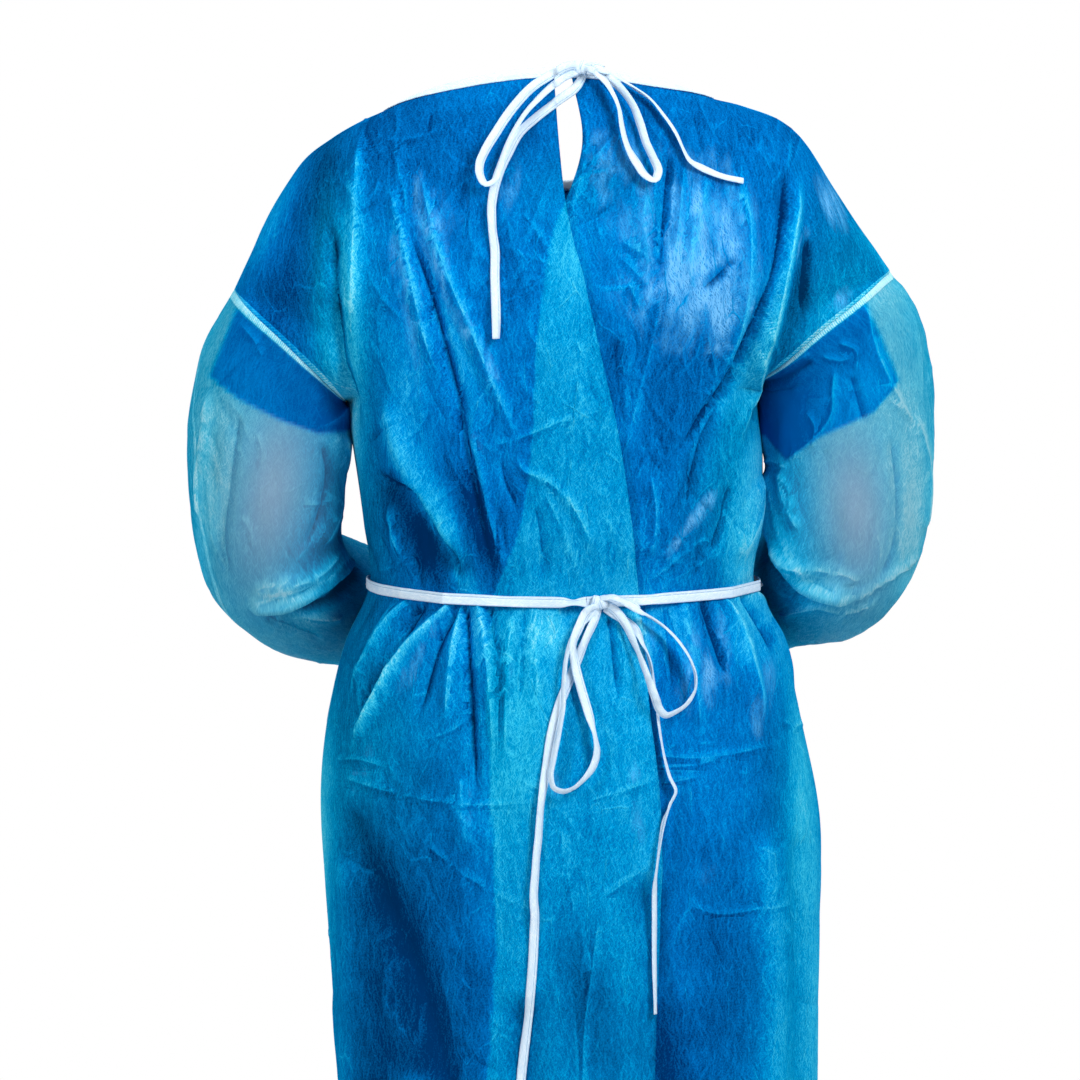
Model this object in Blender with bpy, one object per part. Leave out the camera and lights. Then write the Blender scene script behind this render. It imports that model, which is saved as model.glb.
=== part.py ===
"""A disposable isolation gown, worn and tied at the back, as hollow cloth walls.

Metres, +Z up. The origin is midway between the two shoulders where the neck meets them, the place from which the
gown hangs. -Y is the gown's back, where it is tied, and +X is the wearer's right.

The body is a stack of rows from the hem to the neckline. A row runs from one side to the other, across the back or
the front, as an arc that starts level at the centre and ends square to the side seam or the shoulder seam. Between
the underarm and the shoulder point a row stops at the armhole, and the sleeve carries on from there.
"""

import math

import bmesh
import bpy
import numpy as np
from mathutils import Vector
from mathutils.bvhtree import BVHTree

CLOTH = 0.001  # thickness of every cloth wall
SEAM = 0.0002  # each panel stops this far short of a seam
LAP = 0.0032  # the two back panels part by this much each where they lie on each other
TAPE_WIDTH = 0.009
TAPE = 0.001  # thickness of the tie tape
LIE = 0.0004  # clearance between a tape and what it lies on
KNOT_DRAW = 0.010  # a tape is drawn in to its knot's depth over this length
KNOT_LAYER = 0.003  # between the tapes inside a knot
STACK = 0.0018  # between tapes that lie on each other
BELT_CLEAR = 0.0018  # allowance for the belt's facets
BINDING_DEPTH = 0.008
BINDING_RUN_ON = 0.006
SQUARE = 0.05  # how much a row bulges at its corners beyond a plain ellipse
ARMHOLE_DEPTH = 0.078  # half the armhole, front to back
ARMHOLE_SWEEP = 48.0  # degrees of arc in a row that ends at the middle of the armhole
SHOULDER_POINTS = 8  # mesh rows from the underarm to the shoulder point

# Torso rows from the hem to the underarm, level all round.
#   height, left edge, right edge, centre back, centre front
TORSO = (
    (-1.130, -0.196, 0.224, -0.150, 0.142),
    (-0.960, -0.186, 0.217, -0.149, 0.139),
    (-0.797, -0.180, 0.213, -0.149, 0.137),
    (-0.680, -0.192, 0.217, -0.151, 0.136),
    (-0.592, -0.199, 0.217, -0.150, 0.134),
    (-0.500, -0.193, 0.199, -0.140, 0.130),
    (-0.440, -0.178, 0.184, -0.126, 0.122),
    (-0.394, -0.158, 0.161, -0.108, 0.110),
    (-0.345, -0.163, 0.165, -0.120, 0.121),
    (-0.297, -0.170, 0.167, -0.127, 0.128),
)
# Rows from the underarm and the shoulder point up to the neckline.
#   back z, front z, left x, left z, right x, right z, back y, front y
YOKE = (
    (-0.240, -0.240, -0.177, -0.242, 0.160, -0.226, -0.131, 0.130),  # underarm
    (-0.138, -0.184, -0.269, -0.150, 0.270, -0.134, -0.125, 0.126),  # shoulder point
    (-0.116, -0.168, -0.252, -0.116, 0.247, -0.098, -0.121, 0.124),
    (-0.092, -0.150, -0.236, -0.081, 0.226, -0.066, -0.115, 0.120),
    (-0.065, -0.130, -0.214, -0.045, 0.204, -0.033, -0.107, 0.114),
    (-0.035, -0.108, -0.190, -0.024, 0.182, -0.013, -0.096, 0.106),
    (-0.002, -0.085, -0.165, -0.010, 0.152, -0.001, -0.081, 0.096),
    (0.032, -0.062, -0.138, 0.000, 0.118, 0.009, -0.062, 0.083),  # neckline
)
UNDERARM = len(TORSO)
SHOULDER = UNDERARM + 1
NECK = SHOULDER + len(YOKE) - 2
LAP_ENDS = NECK - 3  # the row at which the back panels stop lying on each other

# Free edges of the back panels. The left one lies over the right one.
#   height at the centre back, left panel's edge x, right panel's edge x
OPENING = (
    (-1.130, 0.078, -0.060),
    (-0.797, 0.078, -0.061),
    (-0.653, 0.082, -0.054),
    (-0.565, 0.081, -0.058),
    (-0.469, 0.070, -0.060),
    (-0.400, 0.064, -0.056),
    (-0.346, 0.059, -0.036),
    (-0.259, 0.046, -0.024),
    (-0.198, 0.032, -0.021),
    (-0.141, 0.019, -0.015),
    (-0.094, 0.007, -0.005),
    (-0.070, 0.003, 0.006),
    (-0.033, -0.001, 0.017),
    (0.032, -0.006, 0.008),
)

# Largest folds of the body. A fold is a soft ridge, or a trough if its height is negative, along a line.
#   face, start x, start z, end x, end z, width, height
FOLDS = (
    ("back", -0.108, -0.130, -0.060, -0.385, 0.034, -0.0162),
    ("back", -0.150, -0.190, -0.110, -0.385, 0.030, 0.0162),
    ("back", -0.080, -0.230, -0.035, -0.385, 0.030, 0.0108),
    ("back", 0.165, -0.150, 0.092, -0.300, 0.030, 0.0162),
    ("back", 0.138, -0.120, 0.060, -0.370, 0.032, -0.0121),
    ("back", 0.076, -0.130, 0.050, -0.300, 0.030, 0.0081),
    ("back", 0.130, -0.290, 0.120, -0.385, 0.026, 0.0108),
    ("back", -0.076, -0.405, -0.072, -0.620, 0.028, -0.0175),
    ("back", -0.038, -0.405, -0.042, -0.760, 0.032, 0.0121),
    ("back", -0.100, -0.405, -0.178, -0.560, 0.030, 0.0162),
    ("back", 0.106, -0.405, 0.130, -0.640, 0.034, 0.0121),
    ("back", 0.146, -0.405, 0.185, -0.560, 0.026, -0.0095),
    ("back", -0.120, -0.600, -0.130, -1.150, 0.060, -0.0162),
    ("back", 0.140, -0.640, 0.150, -1.150, 0.060, 0.0189),
    ("back", 0.020, -0.700, 0.015, -1.150, 0.060, -0.0135),
    ("front", -0.110, -0.130, -0.060, -0.385, 0.044, 0.0135),
    ("front", 0.120, -0.120, 0.070, -0.385, 0.042, 0.0149),
    ("front", 0.010, -0.200, 0.005, -0.385, 0.040, -0.0108),
    ("front", -0.080, -0.405, -0.120, -0.700, 0.038, 0.0162),
    ("front", -0.030, -0.405, -0.035, -0.820, 0.036, -0.0162),
    ("front", 0.045, -0.405, 0.050, -0.760, 0.040, 0.0149),
    ("front", 0.105, -0.405, 0.150, -0.660, 0.036, -0.0135),
    ("front", -0.100, -0.720, -0.110, -1.150, 0.060, 0.0189),
    ("front", 0.080, -0.760, 0.100, -1.150, 0.060, -0.0189),
)

# Sleeve sections from below the armhole to the cuff, for the left arm.
#   centre x, y, z, half width, half depth
LEFT_SLEEVE = (
    (-0.2395, 0.000, -0.226, 0.0640, 0.076),
    (-0.2445, 0.000, -0.262, 0.0660, 0.074),
    (-0.2440, 0.001, -0.300, 0.0645, 0.071),
    (-0.2430, 0.006, -0.340, 0.0630, 0.068),
    (-0.2380, 0.020, -0.370, 0.0600, 0.064),
    (-0.2270, 0.047, -0.391, 0.0570, 0.059),
    (-0.2080, 0.085, -0.406, 0.0540, 0.055),
    (-0.1780, 0.130, -0.420, 0.0510, 0.051),
    (-0.1430, 0.178, -0.434, 0.0460, 0.047),
    (-0.1120, 0.220, -0.445, 0.0410, 0.042),
    (-0.0900, 0.249, -0.453, 0.0350, 0.036),
    (-0.0800, 0.262, -0.457, 0.0330, 0.034),
)
RIGHT_SLEEVE = (
    (0.2360, 0.000, -0.210, 0.0690, 0.076),
    (0.2390, 0.000, -0.250, 0.0690, 0.074),
    (0.2385, 0.001, -0.295, 0.0690, 0.071),
    (0.2375, 0.006, -0.337, 0.0680, 0.068),
    (0.2330, 0.020, -0.366, 0.0640, 0.064),
    (0.2220, 0.047, -0.385, 0.0600, 0.059),
    (0.2040, 0.085, -0.395, 0.0550, 0.055),
    (0.1750, 0.130, -0.408, 0.0510, 0.051),
    (0.1400, 0.178, -0.424, 0.0460, 0.047),
    (0.1100, 0.220, -0.437, 0.0410, 0.042),
    (0.0880, 0.249, -0.446, 0.0350, 0.036),
    (0.0780, 0.262, -0.450, 0.0330, 0.034),
)

WAIST_Z = -0.392  # the belt at the sides
KNOTS = {  # x, z, half width, half depth, half height
    "neck_knot": (0.0155, 0.0330, 0.0115, 0.0050, 0.0060),
    "waist_knot": (0.0320, -0.4025, 0.0100, 0.0050, 0.0065),
}

# Routes of the tie tapes, from their knot outwards, as they lie on the back of the gown.
#   x, z, lift off the cloth, turn of the tape about its own line in degrees
ROUTES = {
    "neck_loop_left": (
        (0.0156, 0.0344, 0.0092, 0),
        (0.0074, 0.0344, 0.0092, 0),
        (-0.0066, 0.0279, 0.0092, 0),
        (-0.0221, 0.0180, 0.0089, 5),
        (-0.0385, 0.0008, 0.0084, 10),
        (-0.0525, -0.0197, 0.0081, 15),
        (-0.0615, -0.0353, 0.0077, 15),
        (-0.0656, -0.0459, 0.0073, 20),
        (-0.0648, -0.0549, 0.0069, 25),
        (-0.0607, -0.0607, 0.0066, 25),
        (-0.0558, -0.0590, 0.0061, 20),
        (-0.0517, -0.0508, 0.0058, 10),
        (-0.0484, -0.0402, 0.0058, 5),
        (-0.0443, -0.0287, 0.0058, 0),
        (-0.0377, -0.0156, 0.0058, 0),
        (-0.0295, -0.0033, 0.0058, 0),
        (-0.0197, 0.0074, 0.0058, 0),
        (-0.0082, 0.0180, 0.0058, 0),
        (0.0033, 0.0262, 0.0058, 0),
        (0.0156, 0.0312, 0.0058, 0),
    ),
    "neck_tail_left": (
        (0.0197, 0.0287, 0.0020, 0),
        (0.0115, 0.0164, 0.0020, 0),
        (-0.0041, 0.0049, 0.0008, 0),
        (-0.0213, -0.0082, 0.0006, 0),
        (-0.0344, -0.0205, 0.0005, 0),
        (-0.0426, -0.0353, 0.0005, 0),
        (-0.0492, -0.0492, 0.0005, 0),
        (-0.0533, -0.0623, 0.0005, 5),
        (-0.0558, -0.0795, 0.0006, 10),
        (-0.0549, -0.0984, 0.0006, 8),
        (-0.0533, -0.1164, 0.0005, 3),
        (-0.0533, -0.1369, 0.0005, 0),
        (-0.0525, -0.1615, 0.0005, 0),
        (-0.0517, -0.1870, 0.0005, 0),
    ),
    "neck_loop_right": (
        (0.0156, 0.0344, 0.0085, 0),
        (0.0254, 0.0320, 0.0085, 0),
        (0.0344, 0.0254, 0.0085, 5),
        (0.0426, 0.0139, 0.0080, 10),
        (0.0484, 0.0000, 0.0075, 15),
        (0.0508, -0.0148, 0.0070, 15),
        (0.0549, -0.0303, 0.0065, 15),
        (0.0623, -0.0443, 0.0060, 15),
        (0.0705, -0.0549, 0.0055, 20),
        (0.0763, -0.0574, 0.0050, 20),
        (0.0787, -0.0517, 0.0045, 20),
        (0.0746, -0.0410, 0.0040, 15),
        (0.0689, -0.0287, 0.0040, 10),
        (0.0640, -0.0123, 0.0040, 10),
        (0.0574, 0.0033, 0.0040, 5),
        (0.0484, 0.0156, 0.0040, 0),
        (0.0369, 0.0262, 0.0040, 0),
        (0.0254, 0.0328, 0.0040, 0),
        (0.0156, 0.0361, 0.0040, 0),
    ),
    "neck_tail_right": (
        (0.0156, 0.0344, 0.0020, 0),
        (0.0320, 0.0328, 0.0020, 0),
        (0.0451, 0.0262, 0.0008, 0),
        (0.0590, 0.0180, 0.0006, 0),
        (0.0722, 0.0090, 0.0005, 0),
        (0.0845, -0.0049, 0.0005, 0),
        (0.0951, -0.0205, 0.0005, 0),
        (0.1009, -0.0336, 0.0005, 0),
        (0.1058, -0.0418, 0.0006, 0),
        (0.1148, -0.0476, 0.0006, 0),
        (0.1304, -0.0541, 0.0005, 0),
        (0.1492, -0.0582, 0.0005, 0),
    ),
    "waist_loop_left": (
        (0.0320, -0.4051, 0.0076, 0),
        (0.0221, -0.4092, 0.0076, 0),
        (0.0156, -0.4207, 0.0076, 0),
        (0.0107, -0.4346, 0.0072, 0),
        (0.0115, -0.4494, 0.0068, 5),
        (0.0164, -0.4690, 0.0063, 10),
        (0.0230, -0.4904, 0.0059, 15),
        (0.0287, -0.5084, 0.0055, 20),
        (0.0303, -0.5207, 0.0051, 25),
        (0.0271, -0.5330, 0.0046, 30),
        (0.0189, -0.5445, 0.0046, 30),
        (0.0098, -0.5519, 0.0042, 30),
        (0.0008, -0.5543, 0.0042, 30),
        (-0.0066, -0.5510, 0.0042, 30),
        (-0.0090, -0.5428, 0.0038, 30),
        (-0.0066, -0.5264, 0.0038, 25),
        (-0.0025, -0.5059, 0.0038, 20),
        (0.0008, -0.4854, 0.0038, 20),
        (0.0033, -0.4658, 0.0038, 20),
        (0.0057, -0.4461, 0.0038, 15),
        (0.0107, -0.4280, 0.0038, 10),
        (0.0197, -0.4149, 0.0038, 0),
        (0.0320, -0.4067, 0.0038, 0),
    ),
    "waist_tail_left": (
        (0.0320, -0.4051, 0.0020, 0),
        (0.0271, -0.4182, 0.0020, 0),
        (0.0205, -0.4330, 0.0008, 0),
        (0.0131, -0.4494, 0.0006, 0),
        (0.0057, -0.4674, 0.0005, 0),
        (-0.0016, -0.4854, 0.0005, 0),
        (-0.0074, -0.5076, 0.0005, 0),
        (-0.0115, -0.5346, 0.0005, 0),
        (-0.0148, -0.5609, 0.0005, 0),
        (-0.0172, -0.5879, 0.0005, 0),
        (-0.0197, -0.6150, 0.0005, 0),
        (-0.0213, -0.6412, 0.0007, 5),
        (-0.0205, -0.6544, 0.0010, 8),
        (-0.0213, -0.6675, 0.0007, 5),
        (-0.0230, -0.6945, 0.0005, 0),
        (-0.0262, -0.7314, 0.0005, 0),
        (-0.0303, -0.7683, 0.0005, 0),
        (-0.0336, -0.8052, 0.0005, 0),
        (-0.0369, -0.8380, 0.0005, 0),
        (-0.0394, -0.8692, 0.0005, 0),
    ),
    "waist_loop_right": (
        (0.0320, -0.3985, 0.0076, 0),
        (0.0426, -0.3969, 0.0076, 0),
        (0.0541, -0.4018, 0.0076, 0),
        (0.0689, -0.4108, 0.0076, 10),
        (0.0836, -0.4207, 0.0072, 20),
        (0.0976, -0.4346, 0.0068, 30),
        (0.1066, -0.4494, 0.0064, 35),
        (0.1107, -0.4633, 0.0060, 35),
        (0.1091, -0.4756, 0.0056, 35),
        (0.1025, -0.4854, 0.0052, 35),
        (0.0935, -0.4912, 0.0080, 30),
        (0.0853, -0.4936, 0.0080, 30),
        (0.0804, -0.4895, 0.0080, 25),
        (0.0763, -0.4789, 0.0080, 20),
        (0.0713, -0.4658, 0.0080, 20),
        (0.0648, -0.4494, 0.0040, 15),
        (0.0582, -0.4330, 0.0040, 10),
        (0.0517, -0.4190, 0.0040, 5),
        (0.0435, -0.4084, 0.0040, 0),
        (0.0320, -0.4018, 0.0040, 0),
    ),
    "waist_tail_right": (
        (0.0353, -0.4075, 0.0020, 0),
        (0.0484, -0.4141, 0.0020, 0),
        (0.0599, -0.4223, 0.0010, 5),
        (0.0672, -0.4346, 0.0008, 8),
        (0.0730, -0.4485, 0.0006, 8),
        (0.0763, -0.4666, 0.0005, 8),
        (0.0787, -0.4830, 0.0005, 8),
        (0.0804, -0.5002, 0.0005, 25),
        (0.0845, -0.5256, 0.0005, 45),
        (0.0894, -0.5428, 0.0005, 45),
        (0.0943, -0.5551, 0.0005, 45),
        (0.0894, -0.5658, 0.0005, 45),
        (0.0853, -0.5773, 0.0005, 40),
        (0.0812, -0.5970, 0.0005, 30),
        (0.0779, -0.6216, 0.0005, 20),
        (0.0771, -0.6576, 0.0005, 10),
        (0.0771, -0.6986, 0.0005, 5),
        (0.0779, -0.7364, 0.0005, 0),
    ),
}

PAINT = {  # colour, roughness
    "cloth": ((0.02, 0.34, 0.66), 0.55),
    "sleeve": ((0.08, 0.48, 0.68), 0.55),
    "tape": ((0.85, 0.90, 0.95), 0.6),
}


def clear_scene():
    for obj in list(bpy.data.objects):
        bpy.data.objects.remove(obj, do_unlink=True)


def material(name):
    colour, roughness = PAINT[name]
    made = bpy.data.materials.get(name) or bpy.data.materials.new(name)
    made.use_nodes = True
    shader = made.node_tree.nodes["Principled BSDF"]
    shader.inputs["Base Color"].default_value = (*colour, 1)
    shader.inputs["Roughness"].default_value = roughness
    shader.inputs["Metallic"].default_value = 0.0
    return made


def add_object(name, mesh, paint):
    mesh.materials.append(material(paint))
    if paint != "tape":
        mesh.shade_smooth()
    obj = bpy.data.objects.new(name, mesh)
    bpy.context.scene.collection.objects.link(obj)
    return obj


def curve_through(table, t):
    """A row of a table read between its rows, on a smooth curve through them."""
    rows = np.asarray(table, float)
    i = int(min(max(math.floor(t), 0), len(rows) - 2))
    s = t - i
    before, here = rows[max(i - 1, 0)], rows[i]
    there, after = rows[i + 1], rows[min(i + 2, len(rows) - 1)]
    leave, arrive = (there - before) / 2, (after - here) / 2
    return (
        here * (2 * s**3 - 3 * s**2 + 1)
        + leave * (s**3 - 2 * s**2 + s)
        + there * (3 * s**2 - 2 * s**3)
        + arrive * (s**3 - s**2)
    )


def centre_rows():
    """Back z, front z, back y, front y for every row from the hem to the neckline."""
    torso = [(z, z, back, front) for z, _, _, back, front in TORSO]
    return torso + [(row[0], row[1], row[6], row[7]) for row in YOKE]


def side_rows():
    """Left x, left z, right x, right z for the rows below the armhole and for those above it."""
    below = [(left, z, right, z) for z, left, right, _, _ in TORSO] + [YOKE[0][2:6]]
    return below, [row[2:6] for row in YOKE[1:]]


CENTRES = centre_rows()
BELOW, ABOVE = side_rows()


def row_at(t):
    """The body row at t, which counts the table rows up from the hem: centre z and y of the back and front, the
    two side points' x and z, and how open the armhole is."""
    back_z, front_z, back_y, front_y = curve_through(CENTRES, t)
    opened = 0.0
    if t <= UNDERARM:
        sides = curve_through(BELOW, t)
    elif t >= SHOULDER:
        sides = curve_through(ABOVE, t - SHOULDER)
    else:
        share = (1 - math.cos(math.pi * (t - UNDERARM))) / 2
        sides = np.array(BELOW[-1]) * (1 - share) + np.array(ABOVE[0]) * share
        opened = math.sin(math.pi * (t - UNDERARM))
    return {
        "back": (back_z, back_y),
        "front": (front_z, front_y),
        "left": (sides[0], sides[1]),
        "right": (sides[2], sides[3]),
        "opened": opened,
    }


def fold_height(face, x, z):
    """How far the largest folds move the cloth out at this place."""
    height = 0.0
    for where, x0, z0, x1, z1, width, tall in FOLDS:
        if where != face:
            continue
        run = Vector((x1 - x0, z1 - z0))
        along = Vector((x - x0, z - z0)).dot(run) / run.length_squared
        across = abs((x - x0) * run.y - (z - z0) * run.x) / run.length
        if 0 < along < 1 and across < width:
            height += tall * math.sin(math.pi * along) ** 0.6 * math.cos(math.pi / 2 * across / width) ** 2
    return height


def body_point(face, t, angle):
    """A point of the cloth's outer face. angle is 0 at the centre and -90 or 90 at the left or right side."""
    row = row_at(t)
    centre_z, centre_y = row[face]
    side_x, side_z = row["left"] if angle < 0 else row["right"]
    outward = -1 if face == "back" else 1
    side_y = outward * max(ARMHOLE_DEPTH * row["opened"], SEAM)
    sweep = 90 - (90 - ARMHOLE_SWEEP) * row["opened"] ** 2
    turn, whole = math.radians(abs(angle) / 90 * sweep), math.radians(sweep)
    bulge = 1 + SQUARE * math.sin(2 * turn) ** 2 * (1 - row["opened"])
    x = side_x * math.sin(turn) / math.sin(whole) * bulge
    y = side_y + (centre_y - side_y) * (math.cos(turn) - math.cos(whole)) / (1 - math.cos(whole)) * bulge
    z = centre_z + (side_z - centre_z) * (math.sin(turn) / math.sin(whole)) ** 2
    fade = math.cos(math.radians(angle))
    return Vector((x, y + outward * fold_height(face, x, z) * fade, z))


def angle_at(t, x):
    """The angle at which the back row at t has this x."""
    row = row_at(t)
    side_x = row["left"][0] if x < 0 else row["right"][0]
    sweep = math.radians(90 - (90 - ARMHOLE_SWEEP) * row["opened"] ** 2)
    turn = math.asin(min(1.0, x / side_x * math.sin(sweep)))
    return math.copysign(turn / sweep * 90, x)


def opening_at(t):
    """Angles of the free edges of the left and right back panels on the row at t."""
    heights, left, right = zip(*OPENING, strict=True)
    z = row_at(t)["back"][0]
    return (
        angle_at(t, float(np.interp(z, heights, left))),
        angle_at(t, float(np.interp(z, heights, right))),
    )


def lap_shift(t, angle, outer):
    """The back panels part where they lap, the outer one out and the inner one in. They meet again at the sides and
    at the neck."""
    nearness = max(0.0, 1 - abs(angle) / 62)
    amount = LAP * nearness * nearness * (3 - 2 * nearness)
    if t > LAP_ENDS:
        amount *= max(0.0, 1 - (t - LAP_ENDS) / 1.5)
    return -amount if outer else amount


def row_steps():
    """The rows of the mesh: closer about the waist, and SHOULDER_POINTS round the armhole."""
    torso = [0, 1, 2, 3, 4, 5, 6, 6.5, 7, 7.5, 8, 8.5, 9, 9.5]
    armhole = [UNDERARM + i / SHOULDER_POINTS for i in range(SHOULDER_POINTS)]
    yoke = list(range(SHOULDER, NECK)) + [NECK - 0.26, NECK]
    return torso + armhole + yoke


def panel_grid(face, spans, columns, shift=None):
    """Rows of points. spans gives each row's first and last angle."""
    grid = []
    for t in row_steps():
        first, last = spans(t)
        line = []
        for i in range(columns):
            angle = first + (last - first) * i / (columns - 1)
            point = body_point(face, t, angle)
            if shift:
                point.y += shift(t, angle)
            line.append(point)
        grid.append(line)
    return grid


def cloth_mesh(name, grid, closed=False):
    """Faces between neighbouring rows of points, pointing to the right of a row as it climbs."""
    shape = bmesh.new()
    rows = [[shape.verts.new(point) for point in line] for line in grid]
    for low, high in zip(rows, rows[1:], strict=False):
        count = len(low)
        for i in range(count if closed else count - 1):
            j = (i + 1) % count
            shape.faces.new((low[i], low[j], high[j], high[i]))
    mesh = bpy.data.meshes.new(name)
    shape.to_mesh(mesh)
    shape.free()
    return mesh


def cloth_wall(name, grid, paint, closed=False):
    """A cloth wall whose outer face is the grid."""
    obj = add_object(name, cloth_mesh(name, grid, closed), paint)
    wall = obj.modifiers.new("wall", "SOLIDIFY")
    wall.thickness = CLOTH
    wall.offset = -1
    return obj


def back_left():
    grid = panel_grid(
        "back", lambda t: (-90, opening_at(t)[0]), 22, lambda t, angle: lap_shift(t, angle, True)
    )
    return cloth_wall("back_left", grid, "cloth"), grid


def back_right():
    grid = panel_grid(
        "back", lambda t: (opening_at(t)[1], 90), 22, lambda t, angle: lap_shift(t, angle, False)
    )
    return cloth_wall("back_right", grid, "cloth"), grid


def front():
    grid = panel_grid("front", lambda t: (90, -90), 28)
    return cloth_wall("front", grid, "cloth"), grid


def armhole_loop(side):
    """Points round an armhole: from the shoulder point down its back edge and up its front edge."""
    angle = -90 if side == "left" else 90
    steps = [UNDERARM + i / SHOULDER_POINTS for i in range(SHOULDER_POINTS + 1)]
    back = [body_point("back", t, angle) for t in reversed(steps)]
    front_edge = [body_point("front", t, angle) for t in steps[1:-1]]
    for end in (back[0], back[-1]):
        end.y = 0
    return back + front_edge


def sleeve_spine(sections, start):
    """Centres, and unit directions along the sleeve at each."""
    centres = [start] + [Vector(section[:3]) for section in sections]
    ahead = []
    for i in range(len(centres)):
        low, high = max(i - 1, 0), min(i + 1, len(centres) - 1)
        ahead.append((centres[high] - centres[low]).normalized())
    return centres, ahead


def carried(direction, old, new):
    """direction turned as the sleeve's line turns from old to new."""
    return (old.rotation_difference(new) @ direction).normalized()


def sleeve_grid(side, table):
    loop = armhole_loop(side)
    middle = (loop[0] + loop[SHOULDER_POINTS]) / 2
    steps = np.arange(0, len(table) - 0.75, 0.75)
    sections = [curve_through(table, t) for t in steps] + [np.array(table[-1])]
    centres, ahead = sleeve_spine(sections, middle)
    out = (loop[0] - middle).normalized()
    ahead[0] = Vector((math.copysign(1, middle.x) * out.z, 0, -abs(out.x)))
    grid = [[point + ahead[0] * 2 * SEAM for point in loop]]
    count = len(loop)
    for i, section in enumerate(sections, 1):
        out = carried(out, ahead[i - 1], ahead[i])
        out = (out - ahead[i] * out.dot(ahead[i])).normalized()
        back = out.cross(ahead[i]) if side == "left" else ahead[i].cross(out)
        grid.append(
            [
                centres[i]
                + out * math.cos(2 * math.pi * k / count) * section[3]
                + back * math.sin(2 * math.pi * k / count) * section[4]
                for k in range(count)
            ]
        )
    return grid if side == "left" else [line[::-1] for line in grid]


def sleeve(side, table):
    grid = sleeve_grid(side, table)
    return cloth_wall("sleeve_" + side, grid[::-1], "sleeve", closed=True)


def swept_mesh(name, rings):
    """A closed body through rings of points, each ring in the same order round."""
    shape = bmesh.new()
    loops = [[shape.verts.new(point) for point in ring] for ring in rings]
    for first, second in zip(loops, loops[1:], strict=False):
        for i in range(len(first)):
            j = (i + 1) % len(first)
            shape.faces.new((first[i], second[i], second[j], first[j]))
    shape.faces.new(loops[0])
    shape.faces.new(loops[-1][::-1])
    bmesh.ops.recalc_face_normals(shape, faces=shape.faces)
    mesh = bpy.data.meshes.new(name)
    shape.to_mesh(mesh)
    shape.free()
    return mesh


def tape_rings(centres, across, out):
    """Rings of a flat tape along centres. across and out are unit directions of its width and its outer face."""
    rings = []
    for middle, side, up in zip(centres, across, out, strict=True):
        half, thick = side * TAPE_WIDTH / 2, up * TAPE / 2
        rings.append([middle + corner for corner in (half + thick, half - thick, -half - thick, -half + thick)])
    return rings


def surface_of(objects):
    """A tree of the outer faces of these pieces, for laying a tape on them."""
    points, faces = [], []
    for obj in objects:
        start = len(points)
        points += [vertex.co.copy() for vertex in obj.data.vertices]
        faces += [[start + i for i in polygon.vertices] for polygon in obj.data.polygons]
    return BVHTree.FromPolygons(points, faces)


def ground_under(tree, x, z):
    """The flat place on the back that a short length of tape would lie on: its y here, and its slopes along x and
    z."""
    places, found = [], []
    for step in (-1, -0.5, 0, 0.5, 1):
        for rise in (-1, -0.5, 0, 0.5, 1):
            dx, dz = step * TAPE_WIDTH * 0.6, rise * TAPE_WIDTH * 0.6
            hit = tree.ray_cast(Vector((x + dx, -1, z + dz)), Vector((0, 1, 0)))[0]
            if hit:
                places.append((1, dx, dz))
                found.append(hit.y)
    if len(found) < 10:
        return tree.find_nearest(Vector((x, -0.1, z)))[0].y, 0.0, 0.0
    places, found = np.array(places), np.array(found)
    near = found < found.min() + 0.02
    level, slope_x, slope_z = np.linalg.lstsq(places[near], found[near], rcond=None)[0]
    proud = (found[near] - places[near] @ (level, slope_x, slope_z)).min()
    return level + proud, slope_x, slope_z


def clear_of(knot_tree, ring):
    """Whether a ring of a tape is outside a knot, LIE or more from it."""
    middles = [(ring[i] + ring[(i + 1) % 4]) / 2 for i in range(4)]
    for point in ring + middles:
        nearest, normal, _, apart = knot_tree.find_nearest(point)
        if apart < LIE or (point - nearest).dot(normal) < 0:
            return False
    return True


def drawn_in(name, rows, knot_y):
    """How far each place on a tape is drawn in to its knot, and the y that it is drawn to. A loop leaves the front
    of the knot and comes back to its middle. A tail leaves its back."""
    ends = [(0, 2), (-1, 1)] if "loop" in name else [(0, 0)]
    pulls = []
    for i in range(len(rows)):
        index, rank = ends[-1] if i > len(rows) / 2 else ends[0]
        apart = math.hypot(rows[i][0] - rows[index][0], rows[i][1] - rows[index][1])
        near = max(0.0, 1 - apart / KNOT_DRAW)
        pulls.append((near * near * (3 - 2 * near), knot_y + (1 - rank) * KNOT_LAYER, rank * STACK))
    return pulls


def tape_rows(route, looped):
    """Places along a route: two for each of its points, and closer ones at each end that is in a knot."""
    last = len(route) - 1
    near_end = np.arange(0, 2.5, 0.04)
    places = list(near_end) + list(np.arange(2.5, last - 2.5, 0.5))
    places += list(last - near_end[::-1]) if looped else list(np.arange(last - 2.5, last + 0.01, 0.5))
    return places, [curve_through(route, t) for t in places]


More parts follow.
